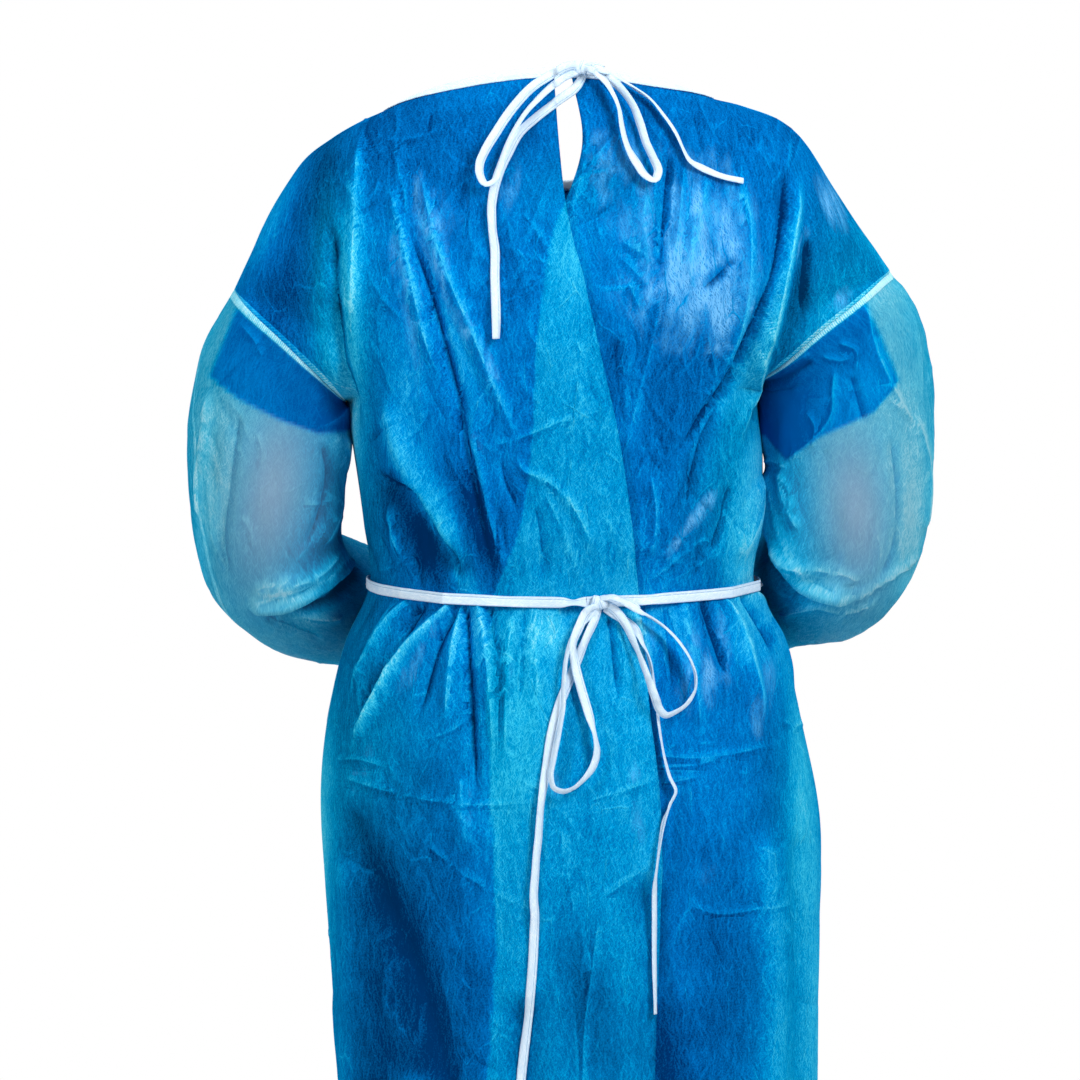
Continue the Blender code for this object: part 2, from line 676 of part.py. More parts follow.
def tie_tape(name, tree, knots):
    """A loop or a tail of tape, along its route over the back, cut where it meets its knot."""
    looped = "loop" in name
    places, rows = tape_rows(ROUTES[name], looped)
    knot_y, knot_tree = knots[name.split("_")[0] + "_knot"]
    ground = np.array([ground_under(tree, x, z) for x, z, _, _ in rows])
    pulls = drawn_in(name, rows, knot_y)
    centres, across, out = [], [], []
    for i, (x, z, lift, turn) in enumerate(rows):
        near = [k for k, place in enumerate(places) if abs(place - places[i]) < 0.6]
        level, slope_x, slope_z = min(ground[i][0], ground[near, 0].mean()), *ground[near, 1:].mean(axis=0)
        lean = TAPE_WIDTH / 2 * math.sin(math.radians(turn))
        steep = math.sqrt(1 + slope_x**2 + slope_z**2)
        free = level - (LIE + TAPE / 2 + lift + lean) * steep
        pull, target, stack = pulls[i]
        lowest = level - (LIE + TAPE / 2 + stack) * steep
        centres.append(Vector((x, min(free + (target - free) * pull, lowest), z)))
        out.append(Vector((slope_x, -1, slope_z)).normalized())
    for i, row in enumerate(rows):
        ahead = (centres[min(i + 1, len(rows) - 1)] - centres[max(i - 1, 0)]).normalized()
        flat = ahead.cross(out[i]).normalized()
        up = flat.cross(ahead).normalized()
        turn = math.radians(row[3])
        across.append(flat * math.cos(turn) + up * math.sin(turn))
        out[i] = up * math.cos(turn) - flat * math.sin(turn)
    rings = tape_rings(centres, across, out)
    first = next(i for i, ring in enumerate(rings) if clear_of(knot_tree, ring))
    last = len(rings) - 1
    if looped:
        last -= next(i for i, ring in enumerate(rings[::-1]) if clear_of(knot_tree, ring))
    kept, reached = [first], places[first]
    for i in range(first, last):
        if places[i] > reached + 0.45 and places[i] < places[last] - 0.25:
            kept.append(i)
            reached = places[i]
    kept.append(last)
    return add_object(name, swept_mesh(name, [rings[i] for i in kept]), "tape")


def hull(points):
    """The convex outline of points in a plane, counter-clockwise."""
    points = sorted(points)
    sides = []
    for run in (points, points[::-1]):
        chain = []
        for x, y in run:
            while len(chain) > 1 and (chain[-1][0] - chain[-2][0]) * (y - chain[-2][1]) <= (
                chain[-1][1] - chain[-2][1]
            ) * (x - chain[-2][0]):
                chain.pop()
            chain.append((x, y))
        sides += chain[:-1]
    return sides


def belt_height(turn):
    """The belt's height at a turn from the back's centre line. It sags to its knot."""
    nearness = max(0.0, math.cos(math.radians(turn)))
    return WAIST_Z + (KNOTS["waist_knot"][1] - WAIST_Z) * nearness


def belt_outline(tree):
    """The taut line of the belt round the body, seen from above."""
    points = []
    for turn in range(0, 360, 3):
        away = Vector((-math.sin(math.radians(turn)), -math.cos(math.radians(turn)), 0))
        for step in (-0.6, 0, 0.6):
            start = away * 0.5 + Vector((0, 0, belt_height(turn) + step * TAPE_WIDTH))
            while True:
                hit, _, index, _ = tree.ray_cast(start, -away)
                if hit is None or hit.xy.length < 0.175:
                    break
                start = hit - away * 0.001
            if hit:
                points.append((hit.x, hit.y))
    return hull(points)


def waist_belt(tree):
    """The belt lies on the body from one side of its knot, round the front, to the other side."""
    outline = belt_outline(tree)
    clear = BELT_CLEAR + LIE + TAPE / 2
    corners = [Vector((x, y, 0)) for x, y in outline + outline[:1]]
    fence = BVHTree.FromPolygons(
        [corner + Vector((0, 0, h)) for corner in corners for h in (-1, 1)],
        [(2 * i, 2 * i + 2, 2 * i + 3, 2 * i + 1) for i in range(len(outline))],
    )
    knot_x, _, wide, _, _ = KNOTS["waist_knot"]

    def place(turn):
        away = Vector((-math.sin(math.radians(turn)), -math.cos(math.radians(turn)), 0))
        hit = fence.ray_cast(away * 0.5, -away)[0]
        return hit + away * clear + Vector((0, 0, belt_height(turn)))

    start = next(turn for turn in np.arange(-40, 40, 0.1) if place(turn).x < knot_x - wide - LIE)
    end = next(turn for turn in np.arange(400, 320, -0.1) if place(turn).x > knot_x + wide + LIE)
    centres = [place(turn) for turn in np.linspace(start, end, 61)]
    out = []
    for i in range(len(centres)):
        ahead = centres[min(i + 1, len(centres) - 1)] - centres[max(i - 1, 0)]
        out.append(Vector((ahead.y, -ahead.x, 0)).normalized())
    across = [Vector((0, 0, 1))] * len(centres)
    return add_object("waist_belt", swept_mesh("waist_belt", tape_rings(centres, across, out)), "tape")


def neck_line(grids):
    """The neckline from the left back panel's free edge round the front to the right one's: points on the edge,
    directions down the cloth and outward directions."""
    left, front_grid, right = grids
    top = [(left[-1][i], left[-2][i]) for i in range(len(left[-1]) - 1, -1, -1)]
    top += [(front_grid[-1][i], front_grid[-2][i]) for i in range(len(front_grid[-1]) - 2, 0, -1)]
    top += [(right[-1][i], right[-2][i]) for i in range(len(right[-1]) - 1, -1, -1)]
    edges = [pair[0] for pair in top]
    down, out = [], []
    for i, (edge, below) in enumerate(top):
        ahead = (edges[min(i + 1, len(edges) - 1)] - edges[max(i - 1, 0)]).normalized()
        fall = below - edge
        fall = (fall - ahead * fall.dot(ahead)).normalized()
        down.append(fall)
        out.append(ahead.cross(fall).normalized())
    return edges, down, out


def neck_binding(grids):
    """Tape folded over the neckline, with the cloth's edge inside the fold. It runs on to the knot."""
    edges, down, out = neck_line(grids)
    run_on = [edges[0] + (edges[0] - edges[1]).normalized() * BINDING_RUN_ON]
    edges, down, out = run_on + edges, down[:1] + down, out[:1] + out
    near, shell = 2 * LIE, 2 * LIE + TAPE * 0.8
    outline = (
        (BINDING_DEPTH, near),
        (BINDING_DEPTH, shell),
        (-shell, shell),
        (-shell, -CLOTH - shell),
        (BINDING_DEPTH, -CLOTH - shell),
        (BINDING_DEPTH, -CLOTH - near),
        (-near, -CLOTH - near),
        (-near, near),
    )
    rings = [
        [edge + fall * a + away * b for a, b in outline]
        for edge, fall, away in zip(edges, down, out, strict=True)
    ]
    return add_object("neck_binding", swept_mesh("neck_binding", rings), "tape")


def knot(name, tree):
    """A knot in the tape, a small squarish lump that stands on the cloth. Returns its middle's y and its surface."""
    x, z, wide, deep, tall = KNOTS[name]
    shape = bmesh.new()
    bmesh.ops.create_uvsphere(shape, u_segments=16, v_segments=10, radius=1)
    for vertex in shape.verts:
        for axis, size in enumerate((wide, deep, tall)):
            vertex.co[axis] = size * math.copysign(abs(vertex.co[axis]) ** 0.5, vertex.co[axis])
        vertex.co += Vector((x, -1, z))
    hits = [(vertex.co, tree.ray_cast(vertex.co, Vector((0, 1, 0)))[0]) for vertex in shape.verts]
    drop = min(hit.y - place.y for place, hit in hits if hit) - LIE
    bmesh.ops.translate(shape, vec=(0, drop, 0), verts=shape.verts)
    mesh = bpy.data.meshes.new(name)
    shape.to_mesh(mesh)
    shape.free()
    return drop - 1, surface_of([add_object(name, mesh, "tape")])


def build():
    clear_scene()
    left, left_grid = back_left()
    right, right_grid = back_right()
    middle, front_grid = front()
    sleeve("left", LEFT_SLEEVE)
    sleeve("right", RIGHT_SLEEVE)
    binding = neck_binding((left_grid, front_grid, right_grid))
    body = [left, right, middle]
    belt = waist_belt(surface_of(body))
    under = surface_of(body + [binding])
    knots = {name: knot(name, under) for name in KNOTS}
    under_ties = surface_of(body + [binding, belt])
    for name in ROUTES:
        tie_tape(name, under_ties, knots)


build()
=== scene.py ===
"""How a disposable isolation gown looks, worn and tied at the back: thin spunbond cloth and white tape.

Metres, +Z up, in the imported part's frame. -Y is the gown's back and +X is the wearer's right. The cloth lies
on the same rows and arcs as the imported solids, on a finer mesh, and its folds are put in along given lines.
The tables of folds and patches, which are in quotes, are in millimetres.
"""

import math
import random

import bmesh
import bpy
import numpy as np
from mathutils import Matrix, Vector, noise
from mathutils.bvhtree import BVHTree


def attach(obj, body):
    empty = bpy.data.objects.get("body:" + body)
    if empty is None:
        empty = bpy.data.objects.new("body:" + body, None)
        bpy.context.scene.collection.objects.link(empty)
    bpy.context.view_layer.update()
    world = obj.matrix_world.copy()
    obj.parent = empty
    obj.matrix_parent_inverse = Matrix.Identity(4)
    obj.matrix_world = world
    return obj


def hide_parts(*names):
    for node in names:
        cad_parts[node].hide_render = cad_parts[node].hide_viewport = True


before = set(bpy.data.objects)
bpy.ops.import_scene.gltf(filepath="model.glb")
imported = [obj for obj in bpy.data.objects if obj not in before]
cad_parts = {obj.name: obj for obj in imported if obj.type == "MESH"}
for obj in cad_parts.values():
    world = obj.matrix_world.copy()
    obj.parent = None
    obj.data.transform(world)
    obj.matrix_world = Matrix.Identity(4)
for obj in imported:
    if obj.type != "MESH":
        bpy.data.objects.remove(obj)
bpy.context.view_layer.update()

CLOTH = 0.0005  # thickness of the nonwoven
SEAM = 0.0002  # each panel stops this far short of a seam
SEAM_STRIP = 0.0042  # half the width of a seam's double layer
SEAM_REACH = 0.02  # farther from a seam than this, the distance no longer matters
LAP = 0.0032  # the two back panels part by this much each where they lie on each other
LAP_REACH = 62.0  # degrees from the centre at which they have come together
ROW_STEP = 0.0031  # between mesh rows below the armholes
ARMHOLE_ROWS = 58
YOKE_ROWS = 58
FACE_COLUMNS = 361
SLEEVE_STEP = 0.0027  # between mesh rows of a sleeve
ARMHOLE_DEPTH = 0.078  # half the armhole, front to back
ARMHOLE_SWEEP = 48.0  # degrees of arc in a row that ends at the middle of the armhole
SQUARE = 0.05  # how much a row bulges at its corners beyond a plain ellipse
FOLD_DEPTH = 1.35  # how much deeper the body's cloth folds than the tables say
ARM_FOLD_DEPTH = 1.2  # and the sleeves', at the back
FOLD_STAND = 0.008  # a fold this high is marked 1
LINE_REACH = 0.010  # how far from its line a fold's sharpness is marked
ROUND_SCALE = 0.065  # metres round the sleeve for a radian, where its folds are placed

TAPE_WIDTH = 0.009
TAPE = 0.0008  # thickness of the folded and stitched tape
LIE = 0.0003  # clearance between a tape and what it lies on
TAPE_STEP = 0.0016  # between cross-sections of a tape
KNOT_DRAW = 0.012  # a tape is drawn in to its knot's depth over this length
KNOT_LAYER = 0.0022  # between the tapes inside a knot
BOWED = 0.86  # how wide the tape looks, as a share of its width, where its edges curl down
BINDING_RUN_ON = 0.006  # past the left panel's free edge
WAIST_Z = -0.392  # the belt at the sides

# Torso rows from the hem to the underarm, level all round.
#   height, left edge, right edge, centre back, centre front
TORSO = (
    (-1.130, -0.196, 0.224, -0.150, 0.142),
    (-0.960, -0.186, 0.217, -0.149, 0.139),
    (-0.797, -0.180, 0.213, -0.149, 0.137),
    (-0.680, -0.192, 0.217, -0.151, 0.136),
    (-0.592, -0.199, 0.217, -0.150, 0.134),
    (-0.500, -0.193, 0.199, -0.140, 0.130),
    (-0.440, -0.178, 0.184, -0.126, 0.122),
    (-0.394, -0.158, 0.161, -0.108, 0.110),
    (-0.345, -0.163, 0.165, -0.120, 0.121),
    (-0.297, -0.170, 0.167, -0.127, 0.128),
)
# Rows from the underarm and the shoulder point up to the neckline.
#   back z, front z, left x, left z, right x, right z, back y, front y
YOKE = (
    (-0.240, -0.240, -0.177, -0.242, 0.160, -0.226, -0.131, 0.130),  # underarm
    (-0.138, -0.184, -0.269, -0.150, 0.270, -0.134, -0.125, 0.126),  # shoulder point
    (-0.116, -0.168, -0.252, -0.116, 0.247, -0.098, -0.121, 0.124),
    (-0.092, -0.150, -0.236, -0.081, 0.226, -0.066, -0.115, 0.120),
    (-0.065, -0.130, -0.214, -0.045, 0.204, -0.033, -0.107, 0.114),
    (-0.035, -0.108, -0.190, -0.024, 0.182, -0.013, -0.096, 0.106),
    (-0.002, -0.085, -0.165, -0.010, 0.152, -0.001, -0.081, 0.096),
    (0.032, -0.062, -0.138, 0.000, 0.118, 0.009, -0.062, 0.083),  # neckline
)
UNDERARM = len(TORSO)
SHOULDER = UNDERARM + 1

# Free edges of the back panels. The left one lies over the right one.
#   height at the centre back, left panel's edge x, right panel's edge x
OPENING = (
    (-1.130, 0.078, -0.060),
    (-0.797, 0.078, -0.061),
    (-0.653, 0.082, -0.054),
    (-0.565, 0.081, -0.058),
    (-0.469, 0.070, -0.060),
    (-0.400, 0.064, -0.056),
    (-0.346, 0.059, -0.036),
    (-0.259, 0.046, -0.024),
    (-0.198, 0.032, -0.021),
    (-0.141, 0.019, -0.015),
    (-0.094, 0.007, -0.005),
    (-0.070, 0.003, 0.006),
    (-0.033, -0.001, 0.017),
    (0.032, -0.006, 0.008),
)

# Sections of the sleeves, from below the armhole to the cuff.
#   x, y, z, half the width across, half the width front to back
LEFT_SLEEVE = (
    (-0.2395, 0.000, -0.226, 0.0640, 0.076),
    (-0.2445, 0.000, -0.262, 0.0660, 0.074),
    (-0.2440, 0.001, -0.300, 0.0645, 0.071),
    (-0.2430, 0.006, -0.340, 0.0630, 0.068),
    (-0.2380, 0.020, -0.370, 0.0600, 0.064),
    (-0.2270, 0.047, -0.391, 0.0570, 0.059),
    (-0.2080, 0.085, -0.406, 0.0540, 0.055),
    (-0.1780, 0.130, -0.420, 0.0510, 0.051),
    (-0.1430, 0.178, -0.434, 0.0460, 0.047),
    (-0.1120, 0.220, -0.445, 0.0410, 0.042),
    (-0.0900, 0.249, -0.453, 0.0350, 0.036),
    (-0.0800, 0.262, -0.457, 0.0330, 0.034),
)
RIGHT_SLEEVE = (
    (0.2360, 0.000, -0.210, 0.0690, 0.076),
    (0.2390, 0.000, -0.250, 0.0690, 0.074),
    (0.2385, 0.001, -0.295, 0.0690, 0.071),
    (0.2375, 0.006, -0.337, 0.0680, 0.068),
    (0.2330, 0.020, -0.366, 0.0640, 0.064),
    (0.2220, 0.047, -0.385, 0.0600, 0.059),
    (0.2040, 0.085, -0.395, 0.0550, 0.055),
    (0.1750, 0.130, -0.408, 0.0510, 0.051),
    (0.1400, 0.178, -0.424, 0.0460, 0.047),
    (0.1100, 0.220, -0.437, 0.0410, 0.042),
    (0.0880, 0.249, -0.446, 0.0350, 0.036),
    (0.0780, 0.262, -0.450, 0.0330, 0.034),
)

KNOTS = {  # x, z, half width, half depth, half height
    "neck_knot": (0.0155, 0.0330, 0.0115, 0.0050, 0.0060),
    "waist_knot": (0.0320, -0.4025, 0.0100, 0.0050, 0.0065),
}

# Routes of the tie tapes, from their knot outwards, as they lie on the back of the gown.
#   x, z, lift off the cloth, turn of the tape about its own line in degrees
ROUTES = {
    "neck_loop_left": (
        (0.0156, 0.0344, 0.0092, 0), (0.0074, 0.0344, 0.0092, 0), (-0.0066, 0.0279, 0.0092, 10),
        (-0.0221, 0.0180, 0.0089, 30), (-0.0385, 0.0008, 0.0084, 22), (-0.0525, -0.0197, 0.0081, 25),
        (-0.0615, -0.0353, 0.0077, 38), (-0.0656, -0.0459, 0.0073, 42), (-0.0648, -0.0549, 0.0069, 42),
        (-0.0607, -0.0607, 0.0066, 38), (-0.0558, -0.0590, 0.0061, 35), (-0.0517, -0.0508, 0.0058, 30),
        (-0.0484, -0.0402, 0.0058, 45), (-0.0443, -0.0287, 0.0058, 52), (-0.0377, -0.0156, 0.0058, 52),
        (-0.0295, -0.0033, 0.0058, 48), (-0.0197, 0.0074, 0.0058, 36), (-0.0082, 0.0180, 0.0058, 20),
        (0.0033, 0.0262, 0.0058, 0), (0.0156, 0.0312, 0.0058, 0),
    ),
    "neck_tail_left": (
        (0.0197, 0.0287, 0.0020, 0), (0.0115, 0.0164, 0.0020, 0), (-0.0041, 0.0049, 0.0008, 0),
        (-0.0213, -0.0082, 0.0006, 0), (-0.0344, -0.0205, 0.0005, 0), (-0.0426, -0.0353, 0.0005, 0),
        (-0.0492, -0.0492, 0.0005, 5), (-0.0533, -0.0623, 0.0005, 10), (-0.0558, -0.0795, 0.0006, 25),
        (-0.0549, -0.0984, 0.0006, 28), (-0.0533, -0.1164, 0.0005, 5), (-0.0533, -0.1369, 0.0005, 10),
        (-0.0525, -0.1615, 0.0005, 20), (-0.0517, -0.1870, 0.0005, 48),
    ),
    "neck_loop_right": (
        (0.0156, 0.0344, 0.0085, 0), (0.0254, 0.0320, 0.0085, 5), (0.0344, 0.0254, 0.0085, 20),
        (0.0426, 0.0139, 0.0080, 44), (0.0484, 0.0000, 0.0075, 58), (0.0508, -0.0148, 0.0070, 48),
        (0.0549, -0.0303, 0.0065, 42), (0.0623, -0.0443, 0.0060, 22), (0.0705, -0.0549, 0.0055, 30),
        (0.0763, -0.0574, 0.0050, 40), (0.0787, -0.0517, 0.0045, 44), (0.0746, -0.0410, 0.0040, 54),
        (0.0689, -0.0287, 0.0040, 52), (0.0640, -0.0123, 0.0040, 54), (0.0574, 0.0033, 0.0040, 70),
        (0.0484, 0.0156, 0.0040, 66), (0.0369, 0.0262, 0.0040, 30), (0.0254, 0.0328, 0.0040, 0),
        (0.0156, 0.0361, 0.0040, 0),
    ),
    "neck_tail_right": (
        (0.0156, 0.0344, 0.0020, 0), (0.0320, 0.0328, 0.0020, 20), (0.0451, 0.0262, 0.0008, 50),
        (0.0590, 0.0180, 0.0006, 64), (0.0722, 0.0090, 0.0005, 60), (0.0845, -0.0049, 0.0005, 57),
        (0.0951, -0.0205, 0.0005, 56), (0.1009, -0.0336, 0.0005, 62), (0.1058, -0.0418, 0.0006, 44),
        (0.1148, -0.0476, 0.0006, 22), (0.1304, -0.0541, 0.0005, 28), (0.1492, -0.0582, 0.0005, 20),
    ),
    "waist_loop_left": (
        (0.0320, -0.4051, 0.0076, 0), (0.0221, -0.4092, 0.0076, 10), (0.0156, -0.4207, 0.0076, 18),
        (0.0107, -0.4346, 0.0072, 48), (0.0115, -0.4494, 0.0068, 12), (0.0164, -0.4690, 0.0063, 8),
        (0.0230, -0.4904, 0.0059, 16), (0.0287, -0.5084, 0.0055, 60), (0.0303, -0.5207, 0.0051, 42),
        (0.0271, -0.5330, 0.0046, 36), (0.0189, -0.5445, 0.0046, 62), (0.0098, -0.5519, 0.0042, 72),
        (0.0008, -0.5543, 0.0042, 62), (-0.0066, -0.5510, 0.0042, 58), (-0.0090, -0.5428, 0.0038, 56),
        (-0.0066, -0.5264, 0.0038, 60), (-0.0025, -0.5059, 0.0038, 62), (0.0008, -0.4854, 0.0038, 60),
        (0.0014, -0.4658, 0.0038, 62), (0.0034, -0.4461, 0.0038, 64), (0.0092, -0.4280, 0.0038, 56),
        (0.0197, -0.4149, 0.0038, 24), (0.0320, -0.4067, 0.0038, 0),
    ),
    "waist_tail_left": (
        (0.0320, -0.4051, 0.0020, 0), (0.0271, -0.4182, 0.0020, 30), (0.0205, -0.4330, 0.0008, 40),
        (0.0131, -0.4494, 0.0006, 10), (0.0057, -0.4674, 0.0005, 10), (-0.0016, -0.4854, 0.0005, 10),
        (-0.0074, -0.5076, 0.0005, 10), (-0.0115, -0.5346, 0.0005, 10), (-0.0148, -0.5609, 0.0005, 46),
        (-0.0172, -0.5879, 0.0005, 42), (-0.0197, -0.6150, 0.0005, 36), (-0.0213, -0.6412, 0.0007, 36),
        (-0.0205, -0.6544, 0.0010, 28), (-0.0213, -0.6675, 0.0007, 16), (-0.0230, -0.6945, 0.0005, 4),
        (-0.0262, -0.7314, 0.0005, 0), (-0.0303, -0.7683, 0.0005, 0), (-0.0336, -0.8052, 0.0005, 0),
        (-0.0369, -0.8380, 0.0005, 0), (-0.0394, -0.8692, 0.0005, 0),
    ),
    "waist_loop_right": (
        (0.0320, -0.3985, 0.0076, 0), (0.0426, -0.3969, 0.0076, 10), (0.0541, -0.4018, 0.0076, 25),
        (0.0689, -0.4108, 0.0076, 58), (0.0836, -0.4207, 0.0072, 66), (0.0976, -0.4346, 0.0068, 75),
        (0.1066, -0.4494, 0.0064, 77), (0.1107, -0.4633, 0.0060, 75), (0.1091, -0.4756, 0.0056, 77),
        (0.1025, -0.4854, 0.0075, 75), (0.0935, -0.4912, 0.0098, 68), (0.0853, -0.4936, 0.0098, 60),
        (0.0804, -0.4895, 0.0098, 52), (0.0763, -0.4789, 0.0098, 66), (0.0713, -0.4658, 0.0085, 76),
        (0.0648, -0.4494, 0.0040, 68), (0.0582, -0.4330, 0.0040, 54), (0.0517, -0.4190, 0.0040, 40),
        (0.0435, -0.4084, 0.0040, 12), (0.0320, -0.4018, 0.0040, 0),
    ),
    "waist_tail_right": (
        (0.0353, -0.4075, 0.0020, 0), (0.0484, -0.4141, 0.0020, 8), (0.0599, -0.4223, 0.0010, 26),
        (0.0672, -0.4346, 0.0008, 42), (0.0730, -0.4485, 0.0006, 58), (0.0763, -0.4666, 0.0005, 60),
        (0.0787, -0.4830, 0.0005, 58), (0.0804, -0.5002, 0.0005, 68), (0.0845, -0.5256, 0.0005, 74),
        (0.0894, -0.5428, 0.0005, 70), (0.0943, -0.5551, 0.0005, 66), (0.0894, -0.5658, 0.0005, 74),
        (0.0853, -0.5773, 0.0005, 76), (0.0812, -0.5970, 0.0005, 68), (0.0779, -0.6216, 0.0005, 54),
        (0.0771, -0.6576, 0.0005, 40), (0.0771, -0.6986, 0.0005, 24), (0.0779, -0.7364, 0.0005, 30),
    ),
}


def patch_table(text):
    """Rows of x, z, half width and half height, which are made metres, and of lean in degrees and amount."""
    rows = (row.split() for row in text.replace(";", "\n").splitlines() if row.strip())
    return [(*(float(size) / 1000 for size in row[:4]), float(row[4]), float(row[5])) for row in rows]


def fold_table(text):
    """Rows that each give a fold's shape, half its width, its height, and the places that it runs through."""
    table = []
    for row in text.strip().splitlines():
        kind, *sizes = row.split()
        width, tall, *places = (float(size) / 1000 for size in sizes)
        table.append((kind, width, tall, list(zip(places[::2], places[1::2], strict=True))))
    return table


# The main folds, at x and z as seen from behind. A height below 0 is a trough. Soft folds have
# a crisp crest, creases are narrow, and steps are steep on one side.
# Above the belt:
BACK_FOLDS = fold_table("""
soft 10 -8  -189 -88  -187 -112  -185 -157  -180 -203  -171 -248  -163 -280
soft 14 6  -162 -16  -165 -43  -167 -75  -169 -116  -171 -166  -173 -198
crease 4 -1.2  -161 -18  -155 -30  -148 -43
crease 4 1.3  -134 -22  -136 -39  -130 -59  -125 -93
soft 9 5  -143 -57  -136 -80  -128 -112  -121 -145  -112 -182  -99 -223
soft 8 -6.5  -129 -88  -117 -121  -105 -157  -95 -194  -84 -239  -75 -280  -65 -330  -57 -371  -57 -395
soft 12 6  -117 -47  -112 -67  -101 -112  -87 -149  -72 -182  -57 -219  -42 -256  -34 -280
soft 18 -3  -75 -34  -81 -63  -84 -88
soft 16 -3  -50 -88  -46 -125  -40 -174
crease 3 0.8  -32 -85  -21 -98  -11 -110
crease 3 0.8  -25 -96  -16 -108  -7 -123
soft 20 8  -144 -231  -136 -264  -120 -305  -99 -342  -76 -379
step 34 -9  -154 -297  -142 -308  -122 -314  -111 -331  -100 -351  -88 -372  -79 -394
soft 6 4  -142 -321  -134 -358  -122 -383
soft 5 -5  -122 -367  -117 -384  -112 -399
soft 7 4  -80 -248  -68 -293  -57 -338  -48 -371  -43 -391
crease 3 1  -52 -338  -48 -358  -42 -376
crease 4 1.5  -60 -275  -46 -272  -25 -265  -1 -255  40 -244
soft 7 3.5  -40 -279  -30 -295  -13 -302  3 -315  18 -339  27 -371
crease 3.5 1.2  -19 -303  -7 -326  6 -358  17 -395
soft 12 -3  -21 -321  -17 -354  -13 -391
soft 10 -3  -50 -285  -46 -305  -34 -330
soft 8 -5  89 -34  85 -63  82 -100  80 -131  75 -157
crease 3.5 1.6  101 -43  98 -71  95 -100  91 -126
soft 14 4  69 -67  66 -100  69 -126
soft 14 4  118 -51  114 -84  107 -116  104 -145
crease 4 1.4  112 -80  107 -96  105 -116  104 -134  108 -147  114 -157
crease 3.5 1.2  49 -108  65 -119  77 -127
crease 3.5 1.2  48 -121  61 -134  74 -149
crease 3.5 1.2  54 -141  60 -154  66 -167
crease 3.5 1.3  82 -131  78 -166  72 -198  66 -221  58 -256  50 -287
soft 7 -3  141 -121  127 -136  112 -150
soft 14 6  139 -51  151 -84  153 -125  148 -166  137 -198  121 -227
soft 8 -9  184 -43  183 -71  179 -104  171 -141  161 -167  148 -198  137 -223  118 -249  102 -271  81 -290
soft 12 8  195 -51  190 -92  184 -126  175 -162  166 -194  157 -227  148 -256  139 -289
soft 8 -6  201 -104  198 -137  195 -170
crease 4 1.5  188 -26  185 -43  182 -57
soft 10 -3  130 -239  114 -272  106 -305  101 -338
crease 4 1.2  115 -153  119 -182  124 -208  127 -239
soft 16 -4  42 -182  47 -223  55 -272
crease 3.5 1.6  9 -85  16 -65  25 -45  37 -29  48 -16
crease 3 1.2  5 -108  9 -80  16 -55  21 -26  18 -2
crease 3 0.9  18 -51  32 -52  42 -52
crease 4 1.4  65 -395  85 -377  106 -360  118 -353  125 -359  114 -371  91 -385  71 -395
soft 14 5  167 -301  162 -330  153 -354  143 -375
soft 10 -4  139 -305  132 -338  118 -371
soft 10 4  73 -297  77 -330  73 -371
""")
# Below the belt:
SKIRT_FOLDS = fold_table("""
soft 9 5  -125 -402  -139 -418  -152 -438  -165 -462  -176 -485
soft 8 -6  -112 -403  -128 -428  -144 -457  -158 -485  -171 -514
soft 10 9  -86 -403  -106 -423  -129 -448  -148 -481  -166 -514  -177 -531
soft 8 -6  -83 -406  -99 -436  -109 -469  -116 -502
soft 7 5  -81 -405  -87 -436  -91 -469  -94 -510
soft 6 -10  -78 -403  -76 -436  -73 -485  -71 -526  -68 -567
soft 8 5  -68 -403  -61 -444  -57 -485  -55 -535
soft 5 -6  -58 -403  -56 -424  -50 -449
crease 3 1.5  -21 -403  -21 -436  -19 -490
soft 9 4  -40 -412  -43 -444  -45 -485  -46 -535
soft 6 -3.5  -30 -408  -33 -444  -34 -485
crease 3 1.1  -136 -449  -140 -469  -142 -487
crease 3 1  -109 -514  -87 -506  -73 -495
crease 3 1  -52 -477  -42 -469  -34 -457
soft 8 -5  39 -413  42 -444  47 -485
soft 8 4  65 -413  71 -453  75 -502
soft 10 -5  114 -403  126 -436  137 -469
soft 12 6  132 -402  148 -436  160 -477  166 -510
soft 8 -6  148 -399  167 -424  178 -453
soft 8 5  157 -397  176 -421  189 -449  196 -485
soft 12 4  98 -407  106 -444  111 -485  114 -518
soft 8 -3  84 -407  88 -436  91 -477
crease 4 1.4  182 -503  194 -510  201 -508  208 -514
crease 3.5 1.2  -184 -535  -165 -533  -138 -539
crease 3.5 1.2  -177 -549  -140 -557  -107 -563  -66 -566  -16 -563
crease 3.5 1.2  24 -562  48 -555  77 -546
crease 3.5 1.2  77 -527  114 -529  151 -525  182 -519
crease 3.5 1  77 -536  106 -535  132 -530
crease 3 0.9  81 -549  98 -547  116 -543
crease 3 1  -109 -599  -87 -617  -58 -635  -25 -651
crease 3 0.9  35 -640  57 -625  77 -611
crease 4 1  -1 -584  6 -625  12 -667
crease 5 1.5  30 -659  25 -699  19 -748  18 -797  24 -863
crease 3 0.8  -35 -543  -25 -550  -16 -553
crease 3 0.8  106 -649  126 -656  163 -653  196 -652
soft 30 -7  -175 -567  -148 -633  -116 -715  -91 -813  -79 -936
soft 25 6  -177 -608  -173 -690  -171 -797  -173 -928
soft 40 -8  65 -617  81 -699  91 -813  98 -977  101 -1133
soft 35 7  163 -584  171 -690  175 -813  184 -977  188 -1133
soft 20 -5  196 -592  196 -690  196 -797  203 -936
soft 16 5  -81 -543  -80 -567  -75 -608
soft 45 8  -116 -781  -124 -936  -128 -1133
soft 40 -8  -34 -715  -25 -895  -17 -1133
soft 30 -6  -189 -854  -194 -977  -196 -1133
soft 36 6  32 -879  35 -1002  37 -1133
soft 26 -5  139 -830  143 -977  148 -1133
""")
